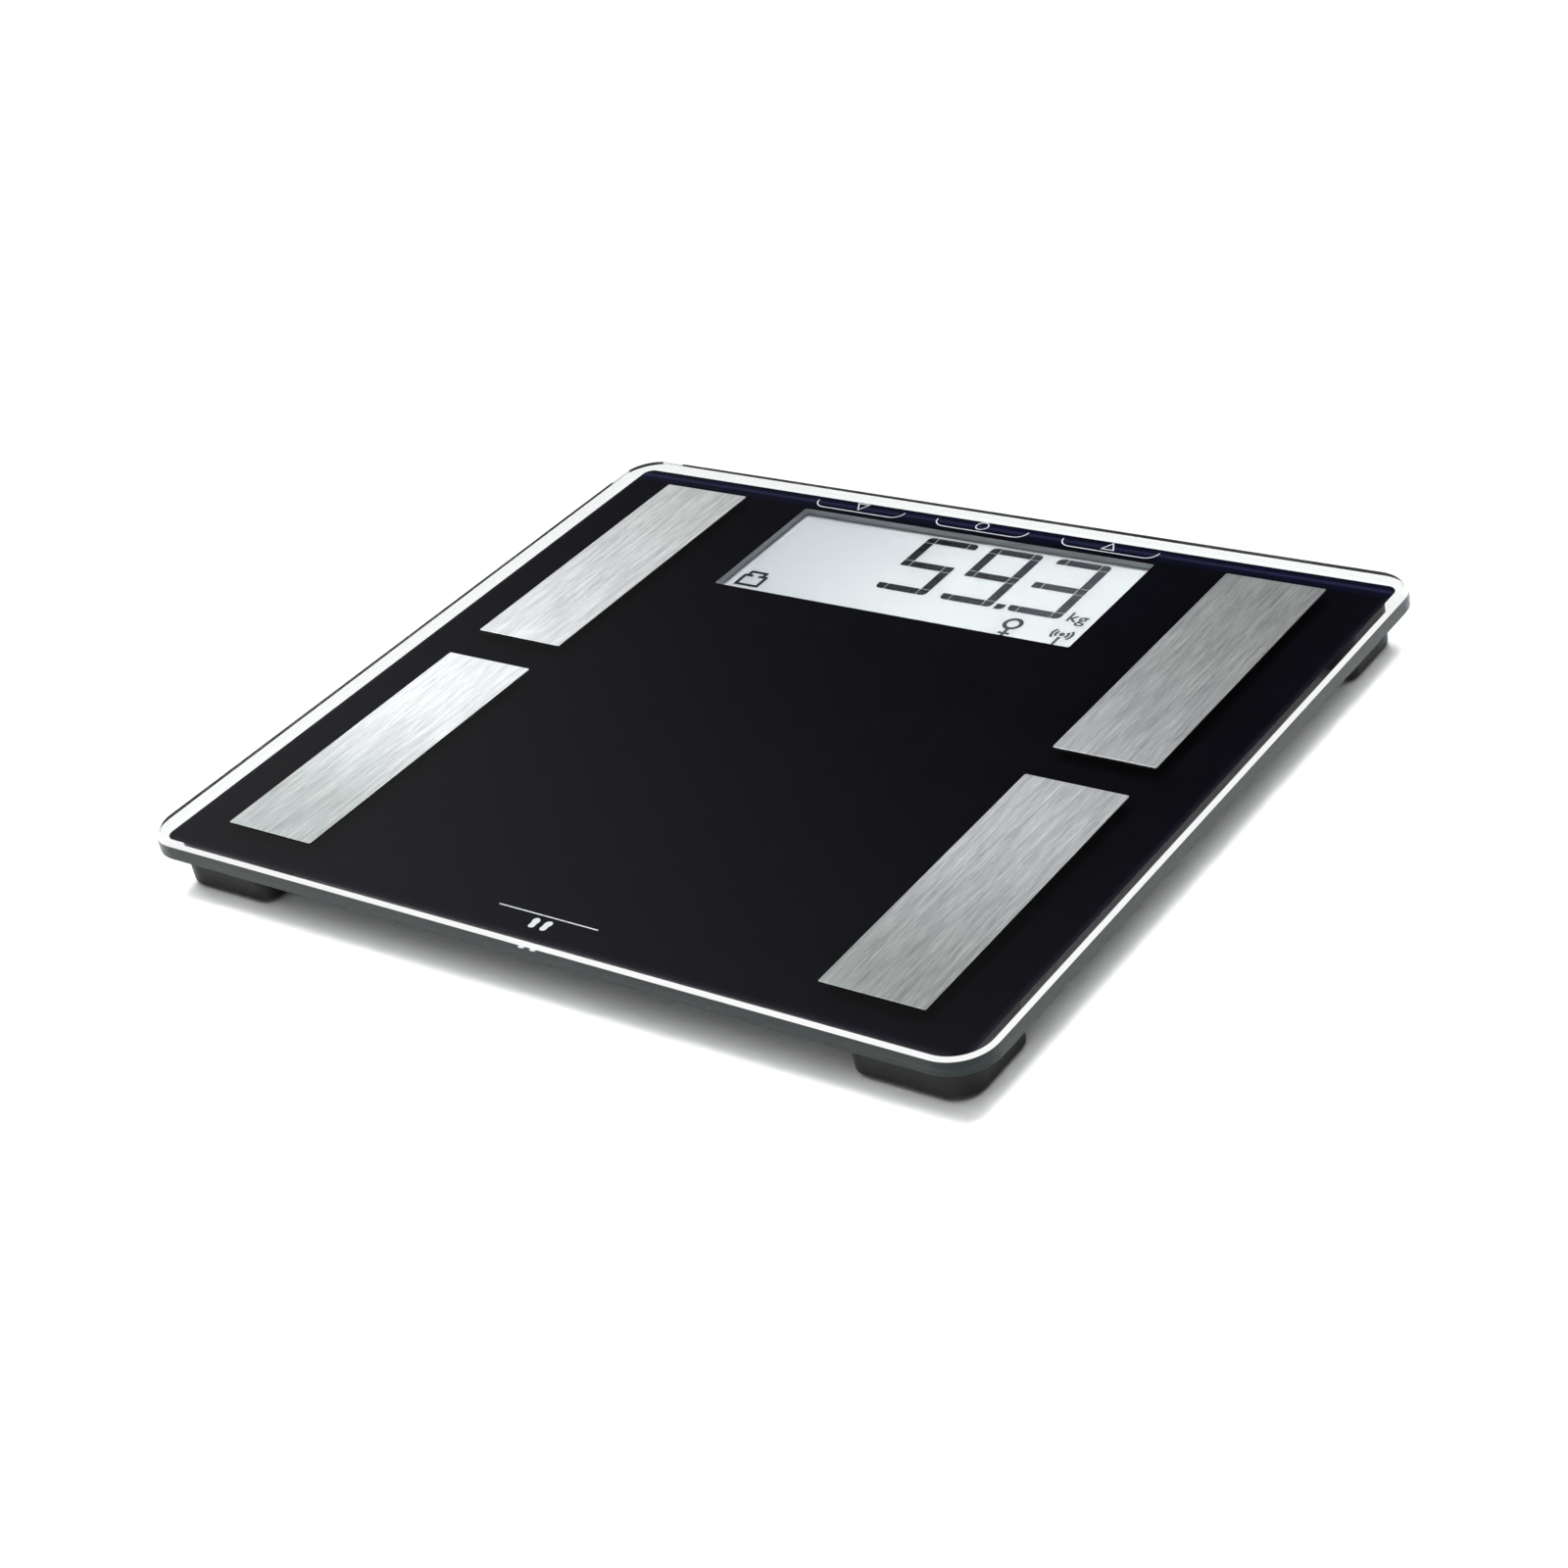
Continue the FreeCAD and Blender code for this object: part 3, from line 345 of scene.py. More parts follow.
def solid_from_curve(name, curve, shift):
    """Turns an extruded curve drawn in mm into a closed mesh object in metres."""
    weld_gap = 0.0005
    sharpest_smooth = math.radians(50)
    draft = bpy.data.objects.new(name, curve)
    scene.collection.objects.link(draft)
    mesh = bpy.data.meshes.new_from_object(draft)
    bpy.data.objects.remove(draft)
    bpy.data.curves.remove(curve)
    cleaned = bmesh.new()
    cleaned.from_mesh(mesh)
    bmesh.ops.remove_doubles(cleaned, verts=cleaned.verts, dist=weld_gap)
    bmesh.ops.recalc_face_normals(cleaned, faces=cleaned.faces)
    cleaned.to_mesh(mesh)
    cleaned.free()
    mesh.transform(Matrix.Diagonal((MM, MM, MM, 1.0)) @ Matrix.Translation(shift))
    mesh.shade_smooth()
    mesh.set_sharp_from_angle(angle=sharpest_smooth)
    piece = bpy.data.objects.new(name, mesh)
    scene.collection.objects.link(piece)
    return piece


def settle(piece, finish, slot, body, *stands_for):
    """Finishes a piece, puts it on its body, and hides the CAD nodes it stands for."""
    piece.data.materials.clear()
    piece.data.materials.append(finish)
    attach(piece, body)
    if stands_for:
        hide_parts(*stands_for)


glass_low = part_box("glass_platform")[0].z / MM
glass_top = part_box("glass_platform")[1].z / MM
print_near, print_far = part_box("underside_print")
print_width = (print_far.x - print_near.x) / MM
print_depth = (print_far.y - print_near.y) / MM
print_bottom = print_near.z / MM
print_corner = 3.5
bond_depth = 0.02
window_centre = (-2.1, 89.95)
window_size = (139.4, 54.4)
window_corner = 1.0
print_outline = round_rectangle((0, 0), (print_width, print_depth), print_corner)
window_outline = round_rectangle(window_centre, window_size, window_corner)
print_sheet = flat_piece(
    "black_print", [print_outline, window_outline[::-1]], print_bottom, glass_low + bond_depth
)
# Fired ceramic ink: dense and blue-black. A painted navy sheen lies in a band along the rear, with a painted
# highlight line in it, for light that enters by the edge, and a painted violet-grey glow lies in the last
# few millimetres of the other sides.
painted_rim_glow_width = 2.2 * MM
painted_rear_sheen_width = 8 * MM
painted_rear_sheen_fade = 2 * MM
painted_rear_highlight_inset = 3.4 * MM
painted_rear_highlight_reach = 1.5 * MM
ink_cloud = 18 * MM
ink, tree, shader, place = new_finish(
    "fired_ceramic_ink", "#08080d", roughness=0.5, Specular_IOR_Level=0.0
)
spot = add_node(tree, "SeparateXYZ", {"Vector": place})
across = add_node(tree, "Math", {0: spot.outputs["X"]}, operation="ABSOLUTE")
from_side = add_node(tree, "Math", {0: print_width / 2 * MM, 1: across}, operation="SUBTRACT")
from_front = add_node(tree, "Math", {0: print_depth / 2 * MM, 1: spot.outputs["Y"]}, operation="ADD")
from_rear = add_node(tree, "Math", {0: print_depth / 2 * MM, 1: spot.outputs["Y"]}, operation="SUBTRACT")
from_rim = add_node(tree, "Math", {0: from_side, 1: from_front}, operation="MINIMUM")
# Painted glow: the ink turns violet-grey within a couple of millimetres of the front and side edges.
painted_rim_glow_share = add_node(
    tree,
    "MapRange",
    {"Value": from_rim, "From Min": 0.0, "From Max": painted_rim_glow_width, "To Min": 1.0, "To Max": 0.0},
    interpolation_type="SMOOTHSTEP",
)
# Painted sheen: a navy band along the rear edge.
painted_rear_sheen_share = add_node(
    tree,
    "MapRange",
    {
        "Value": from_rear,
        "From Min": painted_rear_sheen_width,
        "From Max": painted_rear_sheen_width - painted_rear_sheen_fade,
        "To Min": 0.0,
        "To Max": 1.0,
    },
    interpolation_type="SMOOTHSTEP",
)
# Painted highlight: a brighter navy line inside the rear sheen.
line_offset = add_node(tree, "Math", {0: from_rear, 1: painted_rear_highlight_inset}, operation="SUBTRACT")
line_distance = add_node(tree, "Math", {0: line_offset}, operation="ABSOLUTE")
painted_rear_highlight_share = add_node(
    tree,
    "MapRange",
    {
        "Value": line_distance,
        "From Min": 0.0,
        "From Max": painted_rear_highlight_reach,
        "To Min": 1.0,
        "To Max": 0.0,
    },
    interpolation_type="SMOOTHSTEP",
)
ink_mottle = add_node(tree, "TexNoise", {"Vector": place, "Scale": 1 / ink_cloud, "Detail": 5.0})
ink_body = add_node(
    tree, "MixRGB", {"Fac": ink_mottle, "Color1": linear("#07070b"), "Color2": linear("#0a0a12")}
)
ink_with_painted_rim_glow = add_node(tree, "MixRGB", {"Fac": painted_rim_glow_share, "Color1": ink_body, "Color2": linear("#1c1b26")})
ink_with_painted_rear_sheen = add_node(tree, "MixRGB", {"Fac": painted_rear_sheen_share, "Color1": ink_with_painted_rim_glow, "Color2": linear("#0d0d20")})
ink_with_painted_light = add_node(
    tree, "MixRGB", {"Fac": painted_rear_highlight_share, "Color1": ink_with_painted_rear_sheen, "Color2": linear("#23253f")}
)
tree.links.new(ink_with_painted_light.outputs[0], shader.inputs["Base Color"])
settle(print_sheet, ink, "ink", "platform", "underside_print")

# Key marks. Three brackets with their signs, in fine white lines on the print above the display.
# They are screen-printed first, so they lie in front of the black, and fired with it.


def ribbon(line, width, closed=False):
    """The outlines in mm of a line drawn with a pen of that width: one if it is open, two if closed."""
    mitre_limit = 0.2
    count = len(line)
    sides = ([], [])
    for i, here in enumerate(line):
        before = Vector(line[i - 1]) if i or closed else None
        after = Vector(line[(i + 1) % count]) if i < count - 1 or closed else None
        here = Vector(here)
        ahead = (after - here).normalized() if after else (here - before).normalized()
        behind = (here - before).normalized() if before else ahead
        across = Vector((-ahead.y - behind.y, ahead.x + behind.x)).normalized()
        reach = width / 2 / max(across.dot(Vector((-ahead.y, ahead.x))), mitre_limit)
        for side, sign in zip(sides, (1, -1)):
            side.append(tuple(here + across * reach * sign))
    if closed:
        return [sides[1], sides[0][::-1]]
    return [sides[1] + sides[0][::-1]]


# White ceramic ink: opaque, a little violet through the glass, and slightly uneven from the mesh.
screen_mesh = 0.8 * MM
white_ink, tree, shader, place = new_finish(
    "white_ceramic_ink", "#c8c8ce", roughness=0.45, Specular_IOR_Level=0.0
)
white_mottle = add_node(tree, "TexNoise", {"Vector": place, "Scale": 1 / screen_mesh, "Detail": 2.0})
white_colour = add_node(
    tree, "MixRGB", {"Fac": white_mottle, "Color1": linear("#d2d2d8"), "Color2": linear("#e8e8ec")}
)
tree.links.new(white_colour.outputs[0], shader.inputs["Base Color"])
mark_depth = 0.04
mark_overlap = 0.01
mark_low = glass_low + bond_depth - mark_overlap
mark_high = glass_low + mark_depth
pen = 0.45
keys_x = -2.45
key_spacing = 49.9
bracket_half = 36.3 / 2
bracket_foot = 119.7
bracket_top = 123.8
bracket_round = 4.2
bracket_flare = 5
round_y = bracket_foot + bracket_round
round_steps = 10
symbol_size = 4.5
symbol_y = 123.35
triangle_height = symbol_size * 0.9
ring_steps = 35
ring_end = 350
for side, key in zip((-1, 0, 1), ("left", "middle", "right")):
    key_x = keys_x + side * key_spacing
    left_round = (key_x - bracket_half + bracket_round, round_y)
    right_round = (key_x + bracket_half - bracket_round, round_y)
    bracket_line = (
        [(key_x - bracket_half, bracket_top)]
        + arc(left_round, bracket_round, 180 + bracket_flare, 270, round_steps)
        + arc(right_round, bracket_round, 270, 360 - bracket_flare, round_steps)
        + [(key_x + bracket_half, bracket_top)]
    )
    bracket = flat_piece(f"key_bracket_{key}", ribbon(bracket_line, pen), mark_low, mark_high)
    settle(bracket, white_ink, "ink", "platform")
    if side:
        points = [(-0.5, -0.5 * side), (0.5, -0.5 * side), (0.0, 0.5 * side)][::side]
        symbol_line = [(key_x + x * symbol_size, symbol_y + y * triangle_height) for x, y in points]
    else:
        symbol_line = arc((key_x, symbol_y), symbol_size / 2, 0, ring_end, ring_steps)
    symbol_outlines = ribbon(symbol_line, pen, closed=True)
    symbol = flat_piece(f"key_symbol_{key}", symbol_outlines, mark_low, mark_high)
    settle(symbol, white_ink, "ink", "platform")

# Standing mark. A plain rule and a pair of soles at the middle of the front edge, in the same ink.
# They show which way to face, and are printed together with the key marks.
rule_y = -115.0
rule_line = [(-18.8, rule_y), (18.4, rule_y)]
front_rule = flat_piece("front_rule", ribbon(rule_line, pen), mark_low, mark_high)
settle(front_rule, white_ink, "ink", "platform")
sole_gap = 2.1
sole_foot = -121.2
sole_width_share = 0.8
sole_length_share = 0.66
sole_outline = [(0.0, 0.0), (1.2, 0.35), (1.5, 1.5), (1.35, 2.9), (1.85, 4.6), (1.75, 6.0), (0.9, 6.9)]
sole_outline += [(-0.3, 6.8), (-1.2, 5.9), (-1.45, 4.4), (-1.15, 2.9), (-1.35, 1.4), (-0.95, 0.3)]
for side, foot_name in ((-1, "left"), (1, "right")):
    outline = [
        (side * (sole_gap + x * sole_width_share), sole_foot + y * sole_length_share)
        for x, y in sole_outline
    ]
    sole_mark = flat_piece(f"standing_mark_{foot_name}", [outline[::side]], mark_low, mark_high)
    settle(sole_mark, white_ink, "ink", "platform")

# Electrodes. Four strips of stainless sheet, 0.3 mm, brushed along their length.
# Each is bonded to the glass over its contact pin, with its sheared edges rounded off.


def even_shading(piece):
    """Lets the flat faces rule the shading of the small rounds beside them."""
    piece.modifiers.new("even_shading", "WEIGHTED_NORMAL").keep_sharp = True
    graph = bpy.context.evaluated_depsgraph_get()
    shaded = bpy.data.meshes.new_from_object(piece.evaluated_get(graph))
    piece.modifiers.clear()
    piece.data = shaded


# Brushed stainless steel: the brushing smears the light across the grain. The grain is drawn coarse
# enough to show, and a painted reflection makes its tone darker towards the front and brighter towards the
# rear.
grain_width = 0.28 * MM
grain_length = 5 * MM
wide_grain_share = 0.25
grain_depth = 0.004 * MM
grain_strength = 0.35
darkest_grain = 0.6
brightest_grain = 1.4
smoothest_grain = 0.7
roughest_grain = 1.3
smooth_roughness = 0.36
rough_roughness = 0.42
painted_reflection_start = 10 * MM
painted_reflection_end = 112 * MM
brushed_steel, tree, shader, place = new_finish(
    "brushed_stainless_steel", "#c9cccd", smooth_roughness, Metallic=1.0, Anisotropic=0.75
)
stretch = add_node(
    tree, "Mapping", {"Vector": place, "Scale": (1 / grain_width, 1 / grain_length, 1 / grain_width)}
)
fine_grain = add_node(tree, "TexNoise", {"Vector": stretch, "Scale": 1.0, "Detail": 6.0, "Roughness": 0.7})
wide_grain = add_node(tree, "TexNoise", {"Vector": stretch, "Scale": wide_grain_share, "Detail": 3.0})
grains = add_node(tree, "Math", {0: fine_grain, 1: wide_grain}, operation="ADD")
steel_tone = add_node(
    tree,
    "MapRange",
    {
        "Value": grains,
        "From Min": darkest_grain,
        "From Max": brightest_grain,
        "To Min": 0.0,
        "To Max": 1.0,
    },
)
along = add_node(tree, "SeparateXYZ", {"Vector": place}).outputs["Y"]
# Painted reflection: each grain tone darkens towards the front end of the front plates and brightens a
# little towards the rear end of the rear plates.
grain_tones_with_painted_reflection = []
for middle, front_end, rear_end in (("#ccd0d2", "#7b8080", "#d4d8d9"), ("#eef0f1", "#a0a4a3", "#f2f3f3")):
    tone = linear(middle)
    for end, end_colour in ((-1, front_end), (1, rear_end)):
        painted_reflection_share = add_node(
            tree,
            "MapRange",
            {
                "Value": along,
                "From Min": end * painted_reflection_start,
                "From Max": end * painted_reflection_end,
                "To Min": 0.0,
                "To Max": 1.0,
            },
            interpolation_type="SMOOTHSTEP",
        )
        tone = add_node(tree, "MixRGB", {"Fac": painted_reflection_share, "Color1": tone, "Color2": linear(end_colour)})
    grain_tones_with_painted_reflection.append(tone)
dark_grain_with_painted_reflection, bright_grain_with_painted_reflection = grain_tones_with_painted_reflection
steel_colour = add_node(
    tree, "MixRGB", {"Fac": steel_tone, "Color1": dark_grain_with_painted_reflection, "Color2": bright_grain_with_painted_reflection}
)
tree.links.new(steel_colour.outputs[0], shader.inputs["Base Color"])
steel_gloss = add_node(
    tree,
    "MapRange",
    {
        "Value": grains,
        "From Min": smoothest_grain,
        "From Max": roughest_grain,
        "To Min": smooth_roughness,
        "To Max": rough_roughness,
    },
)
tree.links.new(steel_gloss.outputs[0], shader.inputs["Roughness"])
steel_bump = add_node(
    tree, "Bump", {"Strength": grain_strength, "Distance": grain_depth, "Height": fine_grain}
)
tree.links.new(steel_bump.outputs[0], shader.inputs["Normal"])
grain_across = add_node(tree, "CombineXYZ", {"X": 1.0})
tree.links.new(grain_across.outputs[0], shader.inputs["Tangent"])
plate_size = (35.0, 107.0)
plate_x = 112.77
plate_y = 61.1
plate_corner = 0.6
plate_steps = 4
plate_bond = 0.01
plate_edge = 0.08
corners = {"front_left": (-1, -1), "front_right": (1, -1), "rear_left": (-1, 1), "rear_right": (1, 1)}
for corner, (side, end) in corners.items():
    outline = round_rectangle((side * plate_x, end * plate_y), plate_size, plate_corner, plate_steps)
    plate_low = glass_top + plate_bond
    plate_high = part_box(f"electrode_{corner}")[1].z / MM
    plate = flat_piece(f"steel_plate_{corner}", [outline], plate_low, plate_high, plate_edge)
    even_shading(plate)
    settle(plate, brushed_steel, "electrode_steel", "platform", f"electrode_{corner}")

# Contact pins. Turned brass pins through the drillings, one under each electrode.
# Each carries its plate's current to the lead soldered to it.


def metal_finish(name, dark, bright, roughness, grain, depth, stretched=(1.0, 1.0, 1.0)):
    """A bare or plated metal with a grain in mm, drawn longer along the axes with a small stretch."""
    bump_strength = 0.4
    gloss_change = 0.25
    finish, tree, shader, place = new_finish(name, bright, roughness, Metallic=1.0)
    scale = tuple(s / (grain * MM) for s in stretched)
    mapped = add_node(tree, "Mapping", {"Vector": place, "Scale": scale})
    noise = add_node(tree, "TexNoise", {"Vector": mapped, "Scale": 1.0, "Detail": 5.0})
    colour = add_node(
        tree, "MixRGB", {"Fac": noise, "Color1": linear(dark), "Color2": linear(bright)}
    )
    tree.links.new(colour.outputs[0], shader.inputs["Base Color"])
    roughest = roughness * (1 + gloss_change)
    smoothest = roughness * (1 - gloss_change)
    gloss = add_node(
        tree,
        "MapRange",
        {"Value": noise, "From Min": 0.0, "From Max": 1.0, "To Min": roughest, "To Max": smoothest},
    )
    tree.links.new(gloss.outputs[0], shader.inputs["Roughness"])
    bump = add_node(tree, "Bump", {"Strength": bump_strength, "Distance": depth * MM, "Height": noise})
    tree.links.new(bump.outputs[0], shader.inputs["Normal"])
    return finish


# Turned brass: bright yellow, with fine turning rings and a slight tarnish.
turned_brass = metal_finish(
    "turned_brass", "#b08d4a", "#e0c27a", roughness=0.28, grain=0.3, depth=0.01, stretched=(0.2, 0.2, 2.0)
)
dress(turned_brass, "electrode_contact_pins")

# Feet. Moulded cups, each with a rubber sole, which hang from the load cells under the corners.
# Each cell sits in a nylon bracket with its gauge on top, and a foam tape bonds that to the glass.


def moulded(name, colour, roughness, grain, depth, shift=0.12):
    """A moulded plastic with a spark-eroded skin: grain and depth in mm, faint flow marks in its tone."""
    flow_width = 14 * MM
    bump_strength = 0.6
    gloss_change = 0.06
    finish, tree, shader, place = new_finish(name, colour, roughness, Specular_IOR_Level=0.15)
    skin = add_node(
        tree, "TexNoise", {"Vector": place, "Scale": 1 / (grain * MM), "Detail": 3.0, "Roughness": 0.6}
    )
    flow = add_node(tree, "TexNoise", {"Vector": place, "Scale": 1 / flow_width, "Detail": 2.0})
    base = linear(colour)
    darker = tuple(v * (1 - shift) for v in base[:3]) + (1.0,)
    lighter = tuple(v * (1 + shift) for v in base[:3]) + (1.0,)
    tone = add_node(tree, "MixRGB", {"Fac": flow, "Color1": darker, "Color2": lighter})
    tree.links.new(tone.outputs[0], shader.inputs["Base Color"])
    gloss = add_node(
        tree,
        "MapRange",
        {
            "Value": skin,
            "From Min": 0.0,
            "From Max": 1.0,
            "To Min": roughness - gloss_change,
            "To Max": roughness + gloss_change,
        },
    )
    tree.links.new(gloss.outputs[0], shader.inputs["Roughness"])
    bump = add_node(tree, "Bump", {"Strength": bump_strength, "Distance": depth * MM, "Height": skin})
    tree.links.new(bump.outputs[0], shader.inputs["Normal"])
    return finish


# ABS, moulded in a fine spark-eroded tool: satin black, with a soft highlight.
satin_abs = moulded("satin_black_abs", "#111113", roughness=0.36, grain=0.7, depth=0.02)
# Natural rubber, moulded: matt and a little grainy, so it doesn't shine at all.
sole_rubber = moulded("matt_black_rubber", "#161617", roughness=0.75, grain=0.9, depth=0.05)
# Undyed nylon, moulded: cream, with a dull shine.
natural_nylon = moulded("natural_nylon", "#cfc9b8", roughness=0.45, grain=0.8, depth=0.02)
# Cold-rolled spring steel: grey and bright, with faint rolling lines across the cell.
spring_steel = metal_finish(
    "rolled_spring_steel",
    "#8e9093",
    "#c2c4c6",
    roughness=0.32,
    grain=1.2,
    depth=0.01,
    stretched=(0.15, 1.0, 1.0),
)
# Silicone lacquer, brushed on: glossy off-white, with brush ripples.
gauge_lacquer = moulded("white_gauge_lacquer", "#dcd8cc", roughness=0.35, grain=1.4, depth=0.06)
# Acrylic foam tape, die-cut: mid grey and quite matt, with fine pores.
foam_tape = moulded("grey_acrylic_foam", "#6f7072", roughness=0.8, grain=0.5, depth=0.05)
for corner in corners:
    dress(satin_abs, f"foot_cup_{corner}")
    dress(sole_rubber, f"foot_sole_{corner}")
    dress(natural_nylon, f"foot_bracket_{corner}")
    dress(spring_steel, f"load_cell_{corner}")
    dress(gauge_lacquer, f"strain_gauge_{corner}")
dress(foam_tape, "bracket_tapes", "housing_tape")

# Display. A segment cell of two thin glass sheets, in a moulded frame under the window.
# A pearly film lies in the cell behind the segments, and catches their soft shadow.

# Polystyrene, moulded: pale grey, with a dull even shine, as the walls round the display.
white_styrene = moulded("white_polystyrene", "#a9acb0", roughness=0.45, grain=0.8, depth=0.01, shift=0.02)
dress(white_styrene, "display_frame")
# Thin soda-lime sheet glass: polished and quite clear.
cell_glass_ior = 1.5
cell_glass = clear_glass("display_cell_glass", cell_glass_ior)[0]
dress(cell_glass, "lcd_cell")
film_low = 10.95
film_thickness = 0.12
film_tuck = 1.0
film_corner = 0.4
film_steps = 3
film_size = (window_size[0] + 2 * film_tuck, window_size[1] + 2 * film_tuck)
film_outline = round_rectangle(window_centre, film_size, film_corner, film_steps)
reflector = flat_piece("display_reflector", [film_outline], film_low, film_low + film_thickness)
# Pearl reflector film: pale blue-grey, with painted shade that deepens its tone at the left, and a fine even
# grain.
pearl_grain = 0.25 * MM
pearl_grain_share = 0.05
film_shade_deepest_x = -70 * MM
film_shade_end_x = 20 * MM
pearl, tree, shader, place = new_finish("pearl_reflector_film", "#dde2e6", roughness=0.45)
spot = add_node(tree, "SeparateXYZ", {"Vector": place})
# Painted shade: the film is darker towards the left of the window.
film_painted_shade_share = add_node(
    tree,
    "MapRange",
    {
        "Value": spot.outputs["X"],
        "From Min": film_shade_deepest_x,
        "From Max": film_shade_end_x,
        "To Min": 0.0,
        "To Max": 1.0,
    },
    interpolation_type="SMOOTHSTEP",
)
film_tone_with_painted_shade = add_node(
    tree, "MixRGB", {"Fac": film_painted_shade_share, "Color1": linear("#a9abb1"), "Color2": linear("#c5c6c7")}
)
film_grain = add_node(tree, "TexNoise", {"Vector": place, "Scale": 1 / pearl_grain, "Detail": 2.0})
film_colour = add_node(
    tree,
    "MixRGB",
    {"Fac": pearl_grain_share, "Color1": film_tone_with_painted_shade, "Color2": film_grain.outputs["Color"]},
)
tree.links.new(film_colour.outputs[0], shader.inputs["Base Color"])
settle(reflector, pearl, "reflector_film", "platform", "lcd_reflector")

# Digits. Seven-bar figures with rounded outer corners, dyed liquid crystal between the two sheets.
# Each is drawn as six corner blocks joined by bars, with a hairline gap round every one.
segment_low = 11.14
segment_high = 11.20
segment_gap = 0.26
segment_steps = 6
digit_width = 20.3
digit_height = 35.1
digit_foot = 80.3
stroke = 3.8
corner_round = 1.9
middle_round = 0.35
end_round = 0.2
joint_round = 0.05
middle_drop = 0.2
digit_lefts = (-18.7, 6.8, 32.8)
shown_bars = {
    "5": ("left_upper", "right_lower"),
    "9": ("left_upper", "right_upper", "right_lower"),
    "3": ("right_upper", "right_lower"),
}
rows = {
    "top": digit_foot + digit_height - stroke,
    "bottom": digit_foot,
    "middle": digit_foot + (digit_height - stroke) / 2 - middle_drop,
}
segment_outlines = []


def segment(left, foot, width, height, radii=0.0):
    """One rectangle of dye, trimmed by half the gap on each side."""
    centre = (left + width / 2, foot + height / 2)
    size = (width - segment_gap, height - segment_gap)
    segment_outlines.append(round_rectangle(centre, size, radii, segment_steps))


for digit, left in zip("593", digit_lefts):
    right = left + digit_width - stroke
    for row, foot in rows.items():
        outer = corner_round if row != "middle" else middle_round
        rear = outer if row != "bottom" else end_round
        front = outer if row != "top" else end_round
        segment(left, foot, stroke, stroke, (joint_round, rear, front, joint_round))
        segment(right, foot, stroke, stroke, (rear, joint_round, joint_round, front))
        segment(left + stroke, foot, digit_width - 2 * stroke, stroke)
    for name, x, foot, top in (
        ("left_upper", left, rows["middle"], rows["top"]),
        ("right_upper", right, rows["middle"], rows["top"]),
        ("right_lower", right, rows["bottom"], rows["middle"]),
    ):
        if name in shown_bars[digit]:
            segment(x, foot + stroke, stroke, top - foot - stroke)
point_place = (28.1, 80.0)
point_size = (3.6, 3.5)
point_round = 1.6
segment(*point_place, *point_size, (end_round, end_round, end_round, point_round))

# Small signs. A figure's sign, a plain radio mast with its waves, and the outline of a scale.
# They lie in the cell beside the digits, and are drawn in the same dye.
ring_centre = (40.1, 73.5)
ring_outer = 3.5
ring_inner = 2.05
stem = 0.62
bar_half = 2.15
bar_low = 67.1
bar_high = 68.2
foot_y = 66.0
sign_steps = 40
stem_turn = math.degrees(math.asin(stem / ring_outer))
sign = arc(ring_centre, ring_outer, -90 + stem_turn, 270 - stem_turn, sign_steps)
sign += [
    (ring_centre[0] - x, y)
    for x, y in (
        (stem, bar_high),
        (bar_half, bar_high),
        (bar_half, bar_low),
        (stem, bar_low),
        (stem, foot_y),
        (-stem, foot_y),
        (-stem, bar_low),
        (-bar_half, bar_low),
        (-bar_half, bar_high),
        (-stem, bar_high),
    )
]
segment_outlines.append(sign)
segment_outlines.append(arc(ring_centre, ring_inner, 0, ring_end, ring_steps)[::-1])
mast_x = 58.9
mast_top = 72.6
mast_foot = 66.3
mast_pen = 1.1
mast_knob = 1.0
knob_end = 342
knob_steps = 19
mast_gap = 1.6
wave_pen = 0.95
wave_radii = (2.15, 3.6)
wave_starts = (-42, 138)
wave_turn = 84
wave_steps = 12
segment_outlines += ribbon([(mast_x, mast_foot), (mast_x, mast_top - mast_gap)], mast_pen)
segment_outlines.append(arc((mast_x, mast_top), mast_knob, 0, knob_end, knob_steps))
for radius in wave_radii:
    for start in wave_starts:
        wave = arc((mast_x, mast_top), radius, start, start + wave_turn, wave_steps)
        segment_outlines += ribbon(wave, wave_pen)
scale_x = -68.2
scale_y = 67.8
scale_rim = (
    (0.3, 0), (9.8, 0), (10.1, 0.3), (10.1, 6.8), (9.7, 7.1), (8.6, 7.1), (8.6, 9.3),
    (8.3, 9.6), (1.55, 9.6), (1.25, 9.3), (1.25, 7.1), (0.4, 7.1), (0, 6.8), (0, 0.3),
)
scale_opening = (
    (1.4, 1.3), (8.7, 1.3), (8.7, 5.8), (6.1, 5.8), (6.1, 7.1), (7.2, 7.1), (7.2, 8.3),
    (2.65, 8.3), (2.65, 7.1), (4.0, 7.1), (4.0, 5.8), (1.4, 5.8),
)
segment_outlines.append([(scale_x + x, scale_y + y) for x, y in scale_rim])
segment_outlines.append([(scale_x + x, scale_y + y) for x, y in scale_opening][::-1])
segments = flat_piece("display_segments", segment_outlines, segment_low, segment_high)
# Switched dye in the liquid crystal: almost black at the left digit, and paler towards the right with
# painted light.
dye_dark_x = -18 * MM
dye_pale_x = 54 * MM
dye, tree, shader, place = new_finish(
    "switched_segment_dye", "#2a2d33", roughness=0.6, Specular_IOR_Level=0.0
)
spot = add_node(tree, "SeparateXYZ", {"Vector": place})
# Painted light: the dye pales from the left digit towards the right.
dye_painted_light_share = add_node(
    tree,
    "MapRange",
    {
        "Value": spot.outputs["X"],
        "From Min": dye_dark_x,
        "From Max": dye_pale_x,
        "To Min": 0.0,
        "To Max": 1.0,
    },
)
dye_colour_with_painted_light = add_node(
    tree, "MixRGB", {"Fac": dye_painted_light_share, "Color1": linear("#14171c"), "Color2": linear("#4e4e55")}
)
tree.links.new(dye_colour_with_painted_light.outputs[0], shader.inputs["Base Color"])
settle(segments, dye, "lcd_glass", "platform")

